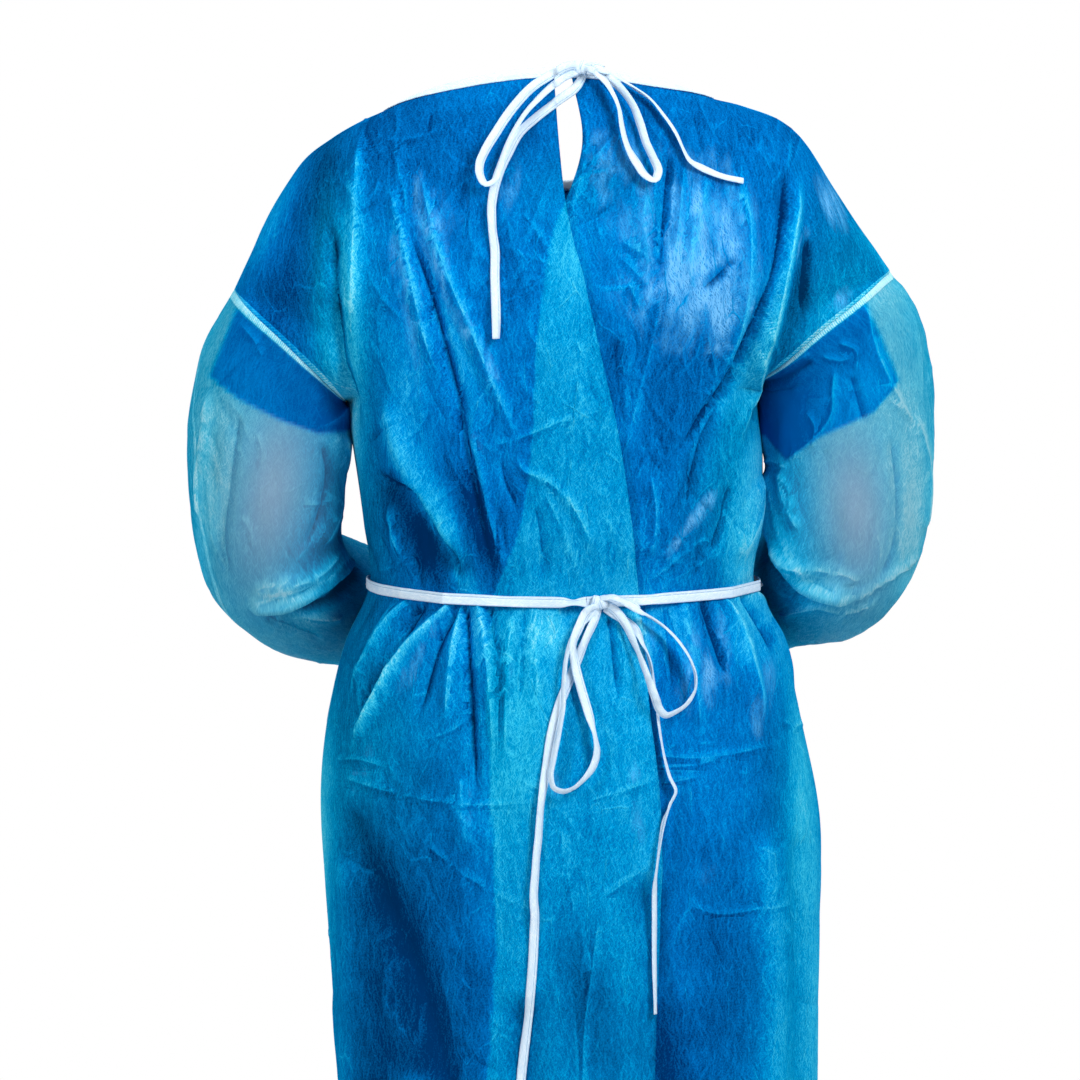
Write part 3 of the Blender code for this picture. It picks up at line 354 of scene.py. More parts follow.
FRONT_FOLDS = fold_table("""
soft 16 7  -150 -170  -120 -240  -80 -330  -60 -385
soft 12 -7  -100 -190  -75 -260  -45 -380
soft 18 5  -55 -140  -35 -250  -15 -360
soft 10 -6  10 -200  12 -300  5 -385
soft 16 8  120 -140  105 -240  70 -380
soft 10 -8  155 -190  130 -270  100 -375
soft 14 5  60 -150  50 -260  35 -370
crease 4.5 1.5  -120 -150  -70 -170  0 -176  80 -168
crease 4 1.2  -20 -120  -26 -190  -18 -270
crease 4 1.3  90 -300  40 -318  -30 -312
soft 10 8  -120 -405  -140 -450  -160 -530
soft 8 -8  -95 -402  -108 -460  -118 -560
soft 10 7  -70 -402  -80 -480  -85 -600
soft 8 -8  -40 -402  -45 -470  -50 -580
soft 10 6  -15 -402  -18 -500  -12 -640
soft 7 -6  10 -402  12 -450  16 -520
soft 10 8  40 -402  46 -480  56 -610
soft 8 -8  70 -402  80 -470  92 -560
soft 10 7  105 -402  124 -470  140 -570
crease 3.5 1.2  -170 -562  -90 -556  0 -566  90 -558
crease 3.5 1  100 -561  150 -556  200 -560
crease 3.5 1  -150 -846  -50 -852  70 -846  170 -853
crease 3.5 1.1  4 -600  6 -760  2 -930  6 -1100
soft 45 9  -120 -640  -130 -850  -134 -1130
soft 36 -8  -50 -620  -58 -860  -60 -1130
soft 40 8  30 -680  34 -900  40 -1130
soft 36 -9  100 -640  110 -880  112 -1130
soft 30 7  165 -620  172 -860  176 -1130
""")
# The back halves of the sleeves:
LEFT_ARM_FOLDS = fold_table("""
step 26 9  -164 -351  -169 -364  -181 -381  -198 -395  -210 -402  -224 -408  -245 -411  -263 -409
soft 6 4.5  -254 -398  -243 -393  -230 -391  -216 -390  -198 -381  -183 -364
crease 4 2.4  -242 -394  -230 -390  -222 -385
crease 4 2.2  -241 -400  -230 -399  -220 -393
soft 4 -3  -251 -404  -235 -403  -218 -399  -202 -389
soft 9 -3  -263 -246  -268 -280  -273 -317  -278 -354  -274 -389
soft 12 5  -187 -264  -180 -301  -185 -334  -198 -364
soft 8 -4  -198 -272  -192 -305  -198 -334  -210 -362
crease 4 1.3  -214 -325  -200 -326  -188 -323
crease 4 1.2  -251 -264  -245 -280  -247 -297
soft 9 -6  -216 -416  -191 -409  -173 -389  -163 -367
soft 8 3.5  -222 -418  -198 -425  -179 -425
soft 8 -3  -245 -420  -224 -432  -198 -444
soft 9 3  -290 -235  -294 -272  -298 -309  -296 -340
crease 4 1.8  -181 -248  -189 -256  -198 -261
soft 6 4  -169 -264  -168 -280  -177 -301
crease 4 1.5  -226 -186  -216 -203  -210 -217
crease 4 1.5  -262 -178  -251 -190  -245 -203
crease 4 1.5  -198 -340  -206 -356  -218 -371
crease 4 1.2  -263 -334  -255 -346  -253 -362
""")
RIGHT_ARM_FOLDS = fold_table("""
step 26 9  244 -407  227 -403  208 -397  192 -381  185 -367  178 -348  172 -321  167 -295
soft 6 4.5  181 -356  192 -375  210 -378  231 -383  249 -390
soft 4 -3  198 -383  212 -390  231 -398
soft 5 5  227 -402  244 -403  262 -392  280 -381  298 -370
soft 8 -3  271 -268  276 -321  274 -362  262 -391
soft 12 4  288 -248  302 -297  300 -352
crease 5 3  224 -212  223 -231  222 -250  214 -264  200 -278  186 -290
soft 7 5  159 -223  182 -213  206 -199
soft 6 -5  161 -229  186 -221  208 -207
crease 4 2.2  226 -192  242 -199  241 -215
crease 4 1.8  214 -203  227 -207  237 -205
soft 8 -6  168 -348  180 -381  198 -405
soft 8 3.5  180 -424  210 -412  241 -415  264 -403
soft 9 4  182 -297  187 -321  198 -348
crease 4 2  169 -293  178 -291  188 -297
crease 4 1.6  182 -301  190 -313  192 -330
crease 4 1.3  200 -248  208 -260  206 -280
soft 8 4  247 -157  257 -198  272 -231  288 -260
soft 8 -3.5  237 -219  243 -239  249 -258
crease 4 1.3  268 -239  280 -248  292 -264
crease 4 1.4  253 -342  262 -358  262 -373
""")
# The front halves of the sleeves, at places round from the outer seam, below 0 to the front, and down from the
# armhole.
LEFT_SLEEVE_FOLDS = fold_table("""
soft 12 4  -60 30  -70 100  -66 170
soft 10 -4  -100 30  -108 110  -100 180
soft 10 5  -160 140  -130 172  -90 186  -50 180
soft 9 -5.5  -166 164  -130 196  -86 206  -50 200
crease 5 2  -140 215  -100 226  -60 222
soft 10 4  -60 250  -70 310  -60 370
""")
RIGHT_SLEEVE_FOLDS = fold_table("""
soft 12 4  -60 30  -66 110  -60 180
soft 10 -4.5  -104 20  -110 90  -98 170
soft 10 5  -156 150  -126 180  -86 192  -46 186
soft 9 -5.5  -160 176  -126 204  -82 214  -46 206
crease 5 2  -130 228  -96 238  -56 232
soft 10 4  -66 262  -70 320  -60 380
""")

# Small creases of each face: seed, how many, the corners of their rectangle, how much their lean varies, how it
# fans out to the sides, and how clear they are.
SCATTERED = {
    "back": (
        (21, 150, (-0.19, -0.39), (0.19, -0.02), 0.45, -1.6, 0.6),
        (22, 90, (-0.19, -0.78), (0.21, -0.42), 0.5, 1.6, 0.4),
        (23, 70, (-0.19, -1.12), (0.21, -0.78), 0.9, 0.0, 0.3),
    ),
    "front": (
        (24, 110, (-0.17, -0.39), (0.17, -0.10), 0.5, -1.6, 0.6),
        (25, 80, (-0.18, -0.78), (0.20, -0.42), 0.5, 1.6, 0.4),
        (26, 60, (-0.18, -1.12), (0.20, -0.78), 0.9, 0.0, 0.3),
    ),
}

# Soft patches. Where the back is painted lighter or deeper: partly painted light and shade on folds, steps and
# edges, and partly the cloth's own lighter or deeper colour:
BACK_SHADE_AND_TONES = patch_table("""
-262 -110  7 95  24 0.4; -232 -165  20 70  16 -0.1; -215 -110  40 80  10 -0.08; -171 -120  12 110  0 0.16;
-125 -130  12 80  -12 0.1; -110 -340  35 60  -8 -0.04; -172 -330  10 80  0 0.22; -60 -300  20 80  -20 0.06;
10 -120  16 70  0 0.1; 90 -110  50 70  0 0.1; 80 -235  40 55  20 -0.12; 158 -190  12 120  18 0.14;
185 -90  20 70  10 -0.02; 262 -110  10 80  -26 0.34; 215 -175  40 50  30 -0.03; 85 -330  24 60  10 -0.02;
160 -310  14 80  0 0.14; -120 -470  40 60  25 0.06; -45 -490  30 70  0 0.2; -165 -560  20 70  10 0.1;
-128 -790  60 200  6 -0.13; -192 -780  14 190  -3 0.24; -202 -580  14 120  0 0.4; 198 -560  14 120  0 0.3;
-60 -700  14 140  0 0.12; 20 -760  40 150  0 -0.11; 110 -560  30 60  0 0.04; 130 -740  60 130  0 -0.08;
200 -780  22 200  2 0.28; 172 -150  12 60  15 0.15; 135 -235  12 50  35 0.15; -180 -220  18 100  0 0.34;
-185 -300  15 50  20 0.2; 150 -390  16 50  0 0.4; 210 -200  20 60  20 0.3; -90 -355  14 60  -22 0.4;
-168 -720  38 140  -8 -0.1; -50 -475  10 55  0 -0.4; 20 -720  22 80  -20 -0.14; 155 -300  16 60  20 0.22;
80 -420  30 35  0 0.25; -125 -235  16 60  -10 0.22; -75 -430  20 20  0 0.25; -10 -425  20 20  0 0.25;
-85 -195  10 50  -20 0.22; 85 -690  20 80  -10 0.18; -60 -340  16 60  -20 -0.16; 192 -150  11 42  4 -0.12;
-235 -90  12 50  25 0.25; 170 -425  16 50  -15 0.25; 55 -240  12 40  0 0.18; -65 -730  16 60  0 -0.16;
-108 -362  14 38  -28 -0.26; -70 -352  9 50  -12 -0.16; -205 -850  12 240  0 0.22; 218 -850  12 240  0 0.22;
-190 -50  50 40  0 -0.1; -100 -20  110 35  0 -0.09; 120 -15  80 30  0 -0.06;
""")
# Where the cloth hangs clear of the body and looks greener:
BACK_CLEAR = patch_table("""
-264 -110  14 100  24 0.9; -192 -120  16 100  0 0.8; -175 -200  30 130  0 0.9; -165 -350  26 80  0 0.8;
-95 -350  14 60  -25 0.6; 240 -130  50 100  20 0.9; 150 -250  26 110  20 0.9; 150 -370  30 60  0 0.7;
-170 -520  80 120  0 0.9; -205 -780  34 220  0 0.9; -130 -800  60 160  0 0.3; -40 -500  30 80  0 0.5;
200 -560  30 140  0 0.8; 190 -850  40 200  0 0.8; 20 -60  60 30  0 0.5;
""")
# Painted highlights: where the cloth's colour is turned to a pale blue sheen, as where fibres catch the light:
BACK_PAINTED_HIGHLIGHTS = patch_table("""
100 -112  60 78  8 0.64; 130 -160  34 44  4 0.36; -106 -100  10 50  -12 0.5; -72 -186  10 55  -28 0.5;
-128 -132  12 40  -15 0.46; -118 -205  16 50  -6 0.3; -90 -85  30 30  0 0.25; -45 -60  16 30  10 0.4;
-225 -180  20 45  -30 0.2; 222 -78  10 30  -20 0.6; 230 -156  10 16  40 0.5; 196 -112  6 18  20 0.5;
36 -40  26 34  20 0.34; -70 -275  14 40  -25 0.25; 114 -330  8 34  38 0.42; 96 -352  6 26  38 0.36;
-112 -445  12 50  30 0.35; -45 -470  12 60  0 0.3; 118 -455  26 50  15 0.52; 165 -485  12 50  10 0.4;
70 -430  14 30  30 0.35; -165 -545  16 40  20 0.25; 60 -560  50 10  84 0.35; -75 -566  60 8  88 0.25;
-10 -548  20 12  70 0.45; 120 -620  40 30  60 0.2; -150 -690  14 60  0 0.15;
""")
FRONT_PAINTED_HIGHLIGHTS = patch_table("""
-80 -120  40 80  10 0.5; 90 -200  26 70  -10 0.4; 60 -480  20 60  10 0.4; -120 -520  18 70  -10 0.35;
""")
ARM_PAINTED_HIGHLIGHTS = patch_table("""
-298 -300  6 80  0 0.3; 228 -385  40 12  -80 0.3;
""")
# Where the sleeves are painted lighter or deeper, partly with light and shade on their folds, where they look
# grey,
# and where they are bent and lie double:
LEFT_ARM_SHADE_AND_TONES = patch_table("""
-270 -320  14 80  8 0.14; -267 -338  16 59  22 -0.1; -194 -325  22 75  -8 -0.16; -200 -372  34 22  60 -0.1;
-286 -285  14 70  0 0.24; -306 -320  6 90  0 -0.1; -172 -386  18 24  20 -0.26; -222 -426  30 14  60 0.06;
-262 -390  20 30  30 -0.06; -195 -370  20 34  20 -0.24; -234 -400  6 20  90 0.22;
""")
RIGHT_ARM_SHADE_AND_TONES = patch_table("""
283 -330  18 100  -8 0.14; 248 -239  33 33  0 0.16; 264 -130  24 30  0 0.26; 172 -345  14 50  -10 -0.22;
190 -250  18 30  0 -0.16; 290 -310  14 90  0 0.24; 262 -200  14 50  20 0.1; 175 -420  30 30  -30 -0.26;
215 -440  30 10  -60 0.06; 186 -325  20 50  -8 -0.34; 226 -393  6 26  80 0.16;
""")
LEFT_ARM_GREY = patch_table("""
-237 -315  33 85  9 1;
""")
RIGHT_ARM_GREY = patch_table("""
243 -330  30 75  -6 1;
""")
ARM_BENT = patch_table("""
-205 -385  14 45  60 0.9; -195 -366  20 34  20 0.9; -182 -310  14 60  8 0.9; -294 -320  9 100  3 0.6;
185 -335  20 60  -8 1; 210 -400  14 45  75 0.8; 290 -400  12 40  -30 0.5; -168 -380  20 35  0 1;
160 -385  20 35  0 1;
""")

# Where the sleeves look deep blue: their lower edge, x and z, and a line that it ends at, x at a height and its
# slope.
LEFT_DEEP = ((-0.288, -0.221), (-0.263, -0.239), (-0.230, -0.256), (-0.200, -0.267), (-0.171, -0.266))
LEFT_DEEP_SIDE = (-0.267, -0.167, 0.40)
RIGHT_DEEP = (
    (0.169, -0.270), (0.185, -0.289), (0.214, -0.269), (0.249, -0.253), (0.257, -0.249), (0.278, -0.224),
)
RIGHT_DEEP_SIDE = (0.249, -0.157, -0.43)


# ---------------------------------------------------------------- camera


VIEW_CENTRE = Vector((-0.017, -0.070, -0.354))
VIEW_WIDTH = 0.886
VIEW_FROM = 7.0
VIEW_RISE = math.radians(3.0)
SENSOR = 36.0


def add_camera():
    data = bpy.data.cameras.new("camera")
    data.sensor_width = SENSOR
    data.lens = SENSOR * VIEW_FROM / VIEW_WIDTH
    camera = bpy.data.objects.new("camera", data)
    camera.location = VIEW_CENTRE + VIEW_FROM * Vector((0, -math.cos(VIEW_RISE), math.sin(VIEW_RISE)))
    camera.rotation_euler = (math.pi / 2 - VIEW_RISE, 0, 0)
    bpy.context.scene.collection.objects.link(camera)
    bpy.context.scene.camera = camera


# ---------------------------------------------------------------- lines and grids


def read_at(levels, table, level):
    """Rows of a table read at these levels, on smooth curves through them."""
    levels, table = np.asarray(levels, float), np.asarray(table, float)
    level = np.clip(level, levels[0], levels[-1])
    i = np.clip(np.searchsorted(levels, level, side="right") - 1, 0, len(levels) - 2)
    gap = (levels[i + 1] - levels[i])[:, None]
    s = (level - levels[i])[:, None] / gap
    slopes = np.gradient(table, levels, axis=0)
    return (
        table[i] * (2 * s**3 - 3 * s**2 + 1)
        + slopes[i] * gap * (s**3 - 2 * s**2 + s)
        + table[i + 1] * (3 * s**2 - 2 * s**3)
        + slopes[i + 1] * gap * (s**3 - s**2)
    )


def smooth_step(value):
    value = np.clip(value, 0, 1)
    return value * value * (3 - 2 * value)


def bell(value, width):
    return np.exp(-((value / width) ** 2))


def unit(vectors):
    return vectors / np.maximum(np.linalg.norm(vectors, axis=-1, keepdims=True), 1e-12)


def run_along(line):
    """How far along a line each of its points is."""
    return np.concatenate([[0], np.cumsum(np.linalg.norm(np.diff(line, axis=0), axis=1))])


def run_across(grid):
    """How far along its row each point of a grid is."""
    steps = np.linalg.norm(np.diff(grid, axis=1), axis=-1)
    return np.concatenate([np.zeros((len(grid), 1)), np.cumsum(steps, axis=1)], axis=1)


def blurred(values, weights):
    """Rows of values, each averaged with its neighbours by these weights."""
    reach = len(weights) // 2
    padded = np.pad(values, [(reach, reach)] + [(0, 0)] * (values.ndim - 1), mode="edge")
    return sum(w * padded[i : i + len(values)] for i, w in enumerate(weights)) / weights.sum()


def eased(rows, rounds):
    """Points or rows of points, each drawn half way to the middle of its neighbours, this many times."""
    for _ in range(rounds):
        rows[1:-1] = (rows[:-2] + 2 * rows[1:-1] + rows[2:]) / 4
    return rows


def grid_normals(points, closed=False):
    """Unit directions out of a grid whose faces point to the right of its rows as it climbs."""
    if closed:
        points = np.concatenate([points[:, -1:], points, points[:, :1]], axis=1)
    across, up = np.gradient(points, axis=1), np.gradient(points, axis=0)
    out = unit(np.cross(across, up))
    return out[:, 1:-1] if closed else out


def grid_faces(rows, columns, closed=False):
    """The numbers of the four points of each face on a grid of points."""
    number = np.arange(rows * columns).reshape(rows, columns)
    if closed:
        number = np.concatenate([number, number[:, :1]], axis=1)
    corners = np.stack([number[:-1, :-1], number[:-1, 1:], number[1:, 1:], number[1:, :-1]], axis=-1)
    return corners.reshape(-1, 4)


# ---------------------------------------------------------------- form of the body


CENTRES = np.array(
    [(z, z, back, front) for z, _, _, back, front in TORSO] + [(*row[:2], *row[6:8]) for row in YOKE]
)
BELOW = np.array([(left, z, right, z) for z, left, right, _, _ in TORSO] + [YOKE[0][2:6]])
ABOVE = np.array([row[2:6] for row in YOKE[1:]])
LEVELS = CENTRES[:, 0]


def body_rows(level):
    """For each level: the centre's back z, front z, back y and front y, the sides' left x, left z, right x and
    right z, and how open the armhole is."""
    centre = read_at(LEVELS, CENTRES, level)
    below = read_at(LEVELS[: UNDERARM + 1], BELOW, level)
    above = read_at(LEVELS[SHOULDER:], ABOVE, level)
    climb = np.clip((level - LEVELS[UNDERARM]) / (LEVELS[SHOULDER] - LEVELS[UNDERARM]), 0, 1)
    share = ((1 - np.cos(np.pi * climb)) / 2)[:, None]
    return centre, below * (1 - share) + above * share, np.sin(np.pi * climb)


def even_levels(low, high, count):
    """Levels from low to high, spaced evenly along the centre and the side together."""
    fine = np.linspace(low, high, 600)
    centre, sides, opened = body_rows(fine)
    centre_run = np.hypot(np.diff(centre[:, 0]), np.diff(centre[:, 2]))
    side_run = np.hypot(np.hypot(np.diff(sides[:, 0]), np.diff(sides[:, 1])), ARMHOLE_DEPTH * np.diff(opened))
    run = np.concatenate([[0], np.cumsum(centre_run + side_run)])
    return np.interp(np.linspace(0, run[-1], count + 1), run, fine)


def row_levels():
    torso_rows = round((LEVELS[UNDERARM] - LEVELS[0]) / ROW_STEP)
    torso = np.linspace(LEVELS[0], LEVELS[UNDERARM], torso_rows + 1)
    armhole = even_levels(LEVELS[UNDERARM], LEVELS[SHOULDER], ARMHOLE_ROWS)
    yoke = even_levels(LEVELS[SHOULDER], LEVELS[-1], YOKE_ROWS)
    return np.concatenate([torso[:-1], armhole[:-1], yoke]), torso_rows


ROWS, FIRST_ARMHOLE_ROW = row_levels()
SHOULDER_ROW = FIRST_ARMHOLE_ROW + ARMHOLE_ROWS
ANGLES = np.linspace(-90, 90, FACE_COLUMNS)


def face_points(face):
    """Rows of points of the smooth body, from its left side to its right side."""
    centre, sides, opened = body_rows(ROWS)
    outward = -1 if face == "back" else 1
    centre_z, centre_y = (centre[:, :1], centre[:, 2:3]) if face == "back" else (centre[:, 1:2], centre[:, 3:4])
    left = ANGLES < 0
    side_x = np.where(left, sides[:, 0:1], sides[:, 2:3])
    side_z = np.where(left, sides[:, 1:2], sides[:, 3:4])
    side_y = outward * np.maximum(ARMHOLE_DEPTH * opened, SEAM)[:, None]
    whole = np.radians(90 - (90 - ARMHOLE_SWEEP) * opened**2)[:, None]
    turn = np.abs(ANGLES) / 90 * whole
    bulge = 1 + SQUARE * np.sin(2 * turn) ** 2 * (1 - opened[:, None])
    x = side_x * np.sin(turn) / np.sin(whole) * bulge
    y = side_y + (centre_y - side_y) * (np.cos(turn) - np.cos(whole)) / (1 - np.cos(whole)) * bulge
    z = centre_z + (side_z - centre_z) * (np.sin(turn) / np.sin(whole)) ** 2
    return evened(np.stack([x, y, z], axis=-1))


def evened(points):
    """The rows' depth smoothed up and down about the armhole, and left as it is at the sides."""
    soft = blurred(points[:, :, 1], np.exp(-0.5 * (np.arange(-26, 27) / 10) ** 2))
    inside = smooth_step((90 - np.abs(ANGLES)) / 22)
    rows = np.arange(len(points))
    near = smooth_step((rows - FIRST_ARMHOLE_ROW + 45) / 30) * smooth_step((len(points) - 1 - rows) / 12)
    share = near[:, None] * inside[None]
    points[:, :, 1] = points[:, :, 1] * (1 - share) + soft * share
    near = bell(rows - SHOULDER_ROW, 16)[1:-1, None, None]
    for _ in range(160):
        points[1:-1] += 0.5 * near * inside[None, :, None] * ((points[:-2] + points[2:]) / 2 - points[1:-1])
    return points


# ---------------------------------------------------------------- folds


def along_line(places, line):
    """How far each place is from a line, how far along it as a share of its length, and on which side."""
    apart = np.full(len(places), np.inf)
    share, side = np.zeros(len(places)), np.ones(len(places))
    run = run_along(line)
    for i in range(len(line) - 1):
        step = line[i + 1] - line[i]
        away = places - line[i]
        s = np.clip(away @ step / (step @ step), 0, 1)
        gap = away - s[:, None] * step
        here = np.hypot(gap[:, 0], gap[:, 1])
        closer = here < apart
        apart[closer] = here[closer]
        share[closer] = ((run[i] + s * (run[i + 1] - run[i])) / run[-1])[closer]
        side[closer] = np.sign(step[0] * away[:, 1] - step[1] * away[:, 0])[closer]
    return apart, share, side


def smooth_line(places):
    """A smooth line through these places, with a point about every 6 mm."""
    places = np.array(places, float)
    run = run_along(places)
    return read_at(run, places, np.linspace(0, run[-1], max(3, int(run[-1] / 0.006)) + 1))


def fold_profile(kind, apart, side, width):
    """A fold with a crisp crest, a narrow crease, or a step that is steep on its left side."""
    if kind == "soft":
        spread = np.sqrt((apart / width) ** 2 + 0.012)
        return np.maximum(0, 1.006 - spread) ** 1.45
    if kind == "crease":
        return np.maximum(0, 1 - apart / width) ** 1.7
    steep = smooth_step(1 - apart / 0.0075)
    gentle = np.maximum(0, 1 - apart / width) ** 1.6
    return np.where(side > 0, steep, gentle)


def fold_heights(places, folds, lead, trail, clarity=1.0):
    """How far the folds move the cloth out at each place, its distance from the nearest fold's line, above 0 on
    the side that faces the light, and how sharp that line is, below 0 in a trough. A fold rises over the share
    lead of its length and fades over the share trail."""
    heights = np.zeros(len(places))
    gap, sharp = np.full(len(places), LINE_REACH), np.zeros(len(places))
    for kind, width, tall, line in folds:
        line = smooth_line(line)
        low, high = line.min(axis=0) - width, line.max(axis=0) + width
        near = np.flatnonzero(((places > low) & (places < high)).all(axis=1))
        if not len(near):
            continue
        apart, share, side = along_line(places[near], line)
        end = smooth_step(share / lead) * smooth_step((1 - share) / trail)
        wide = width * (0.6 + 0.4 * np.sin(np.pi * share))
        heights[near] += tall * end * fold_profile(kind, apart, side, wide)
        closer = apart < np.abs(gap[near])
        ahead = line[-1] - line[0]
        lit = -math.copysign(1, tall) if kind == "step" else math.copysign(1, 0.55 * ahead[0] - 0.75 * ahead[1])
        gap[near[closer]] = (apart * side * lit)[closer]
        amount = clarity * min(1.0, 0.5 + abs(tall) / 0.012) * float(smooth_step((0.022 - width) / 0.012))
        fade = smooth_step((LINE_REACH - apart) / 0.004)
        sharp[near[closer]] = (end * fade * math.copysign(amount, tall))[closer]
    return heights, gap, sharp


def nearest_lines(found):
    """Results of fold_heights joined: heights added, and the nearest line at each place."""
    heights, gap, sharp = (np.array(values) for values in zip(*found, strict=True))
    first = np.abs(gap).argmin(axis=0)[None]
    return heights.sum(axis=0), np.take_along_axis(gap, first, 0)[0], np.take_along_axis(sharp, first, 0)[0]


def scattered_creases(seed, count, low, high, lean, fan=0.0):
    """Small creases at random places in a rectangle, most of them within lean radians of upright."""
    draw = random.Random(seed)
    folds = []
    for _ in range(count):
        x, z = draw.uniform(low[0], high[0]), draw.uniform(low[1], high[1])
        turn = draw.gauss(fan * x, lean)
        length = draw.uniform(0.018, 0.075)
        bend = draw.gauss(0, 0.10)
        ahead = Vector((math.sin(turn), math.cos(turn)))
        aside = Vector((ahead.y, -ahead.x))
        start = Vector((x, z))
        middle = start + ahead * length * 0.5 + aside * length * bend
        end = start + ahead * length
        tall = draw.choice((-1, 1, 1)) * draw.uniform(0.0004, 0.0012)
        kind = draw.choice(("crease", "crease", "soft"))
        folds.append((kind, draw.uniform(0.003, 0.0065), tall, (tuple(start), tuple(middle), tuple(end))))
    return folds


GATHERED = 0.15  # half the width of cloth that the belt gathers
GATHER_SEED = {"back": 11, "front": 13}


def belt_gathers(seed, way):
    """Small tucks that run out from under the belt, unevenly spaced: up where way is 1, down where it is -1."""
    draw = random.Random(seed)
    folds, x = [], -GATHERED
    while x < GATHERED:
        length = draw.uniform(0.020, 0.085)
        fan = draw.gauss(0.35 * x / 0.16, 0.12)
        low = WAIST_Z + way * draw.uniform(0.006, 0.010)
        places = [(x + fan * run, low + way * run) for run in (0, length / 2, length)]
        tall = draw.choice((-1, 1)) * draw.uniform(0.0012, 0.0030) * 0.7
        folds.append(("soft", draw.uniform(0.0035, 0.0065), tall, places))
        x += draw.uniform(0.007, 0.019)
    return folds


def fold_tables(face):
    """The face's sets of folds, each with the shares of a fold's length over which it rises and fades, and how
    clear its line is."""
    placed = {
        "back": [(BACK_FOLDS, 0.16, 0.26, 1.0), (SKIRT_FOLDS, 0.05, 0.30, 1.0)],
        "front": [(FRONT_FOLDS, 0.10, 0.26, 1.0)],
    }[face]
    gathers = belt_gathers(GATHER_SEED[face], -1) + belt_gathers(GATHER_SEED[face] + 1, 1)
    scattered = [(scattered_creases(*row), 0.3, 0.3, clarity) for *row, clarity in SCATTERED[face]]
    return placed + [(gathers, 0.05, 0.6, 0.45)] + scattered


def step_light_and_shade(places, folds):
    """Painted light along the edge above a step in the cloth, and painted shade below it."""
    total = np.zeros(len(places))
    for kind, _, _, line in folds:
        if kind == "step":
            apart, share, side = along_line(places, smooth_line(line))
            end = smooth_step(share / 0.15) * smooth_step((1 - share) / 0.15)
            total += end * np.where(side > 0, -0.34 * bell(apart - 0.006, 0.010), 0.24 * bell(apart, 0.006))
    return total


def tone_at(places, tones):
    """The sum of the soft patches at each place."""
    total = np.zeros(len(places))
    for x, z, wide, tall, lean, amount in tones:
        turn = math.radians(lean)
        dx, dz = places[:, 0] - x, places[:, 1] - z
        across = (dx * math.cos(turn) - dz * math.sin(turn)) / wide
        along = (dx * math.sin(turn) + dz * math.cos(turn)) / tall
        total += amount * np.exp(-(across**2 + along**2))
    return total


def drift_noise(points, scale, seed, stretch=1.0):
    """Smooth noise from about -1 to 1 at each point, longer up and down by stretch."""
    shift = Vector((seed * 3.1, seed * 1.7, seed * 5.3))
    flat = points.reshape(-1, 3) * (scale, scale, scale / stretch)
    values = [noise.noise(Vector(p) + shift) for p in flat.tolist()]
    return np.array(values).reshape(points.shape[:-1])


def sway(points):
    """A slow, even wandering of the cloth. All pieces have the same at the same place, so that seams stay shut."""
    return 0.0035 * drift_noise(points, 9, 1, 1.6) + 0.0016 * drift_noise(points, 24, 2, 1.8)


def crumple(points):
    """Small flat facets, as thin crisp cloth has after it was packed: 0 at their edges and up to 0.6 inside."""
    flat = points.reshape(-1, 3) * (30, 30, 19)
    shift = 0.35
    values = []
    for p in flat.tolist():
        place = Vector(p)
        place.x += shift * noise.noise(place * 0.9)
        place.z += shift * noise.noise(place * 0.9 + Vector((7, 3, 1)))
        near = noise.voronoi(place)[0]
        values.append(min(near[1] - near[0], 0.6))
    return np.array(values).reshape(points.shape[:-1])


# ---------------------------------------------------------------- pieces


def face_mesh(name, grid, flat, marks, closed=False):
    """A mesh on a grid of points, with a UV map in metres of cloth and one number a vertex for each mark."""
    faces = grid_faces(*grid.shape[:2], closed)
    mesh = bpy.data.meshes.new(name)
    mesh.vertices.add(grid.shape[0] * grid.shape[1])
    mesh.vertices.foreach_set("co", grid.reshape(-1).astype(np.float32))
    mesh.loops.add(faces.size)
    mesh.loops.foreach_set("vertex_index", faces.reshape(-1).astype(np.int32))
    mesh.polygons.add(len(faces))
    mesh.polygons.foreach_set("loop_start", np.arange(0, faces.size, 4, dtype=np.int32))
    mesh.update(calc_edges=True)
    lay = mesh.uv_layers.new(name="lay")
    places = flat.reshape(-1, 2)[grid_faces(*flat.shape[:2]).reshape(-1)]
    lay.data.foreach_set("uv", places.reshape(-1).astype(np.float32))
    for mark, values in marks.items():
        layer = mesh.attributes.new(mark, "FLOAT", "POINT")
        layer.data.foreach_set("value", values.reshape(-1).astype(np.float32))
    mesh.shade_smooth()
    return mesh


def add_piece(name, mesh, finish, node):
    """A finished piece of the gown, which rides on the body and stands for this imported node."""
    mesh.materials.append(finish)
    obj = bpy.data.objects.new(name, mesh)
    bpy.context.scene.collection.objects.link(obj)
    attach(obj, "root")
    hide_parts(node)
    return obj


def cloth_wall(name, grid, flat, marks, finish, node, closed=False):
    """A piece of cloth with its thickness."""
    obj = add_piece(name, face_mesh(name, grid, flat, marks, closed), finish, node)
    wall = obj.modifiers.new("wall", "SOLIDIFY")
    wall.thickness = CLOTH
    wall.offset = -1
    bpy.ops.object.select_all(action="DESELECT")
    bpy.context.view_layer.objects.active = obj
    obj.select_set(True)
    bpy.ops.object.modifier_apply(modifier=wall.name)
    obj.select_set(False)
    return obj


# ---------------------------------------------------------------- body panels


def flat_lay(points):
    """Where each point of a face lies on the cloth before it is worn: metres from the centre line, and up."""
    across = run_across(points)
    middle = points.shape[1] // 2
    up = run_along(points[:, middle])
    across = across - across[:, middle : middle + 1]
    return np.stack([across, np.broadcast_to(up[:, None], across.shape)], axis=-1)


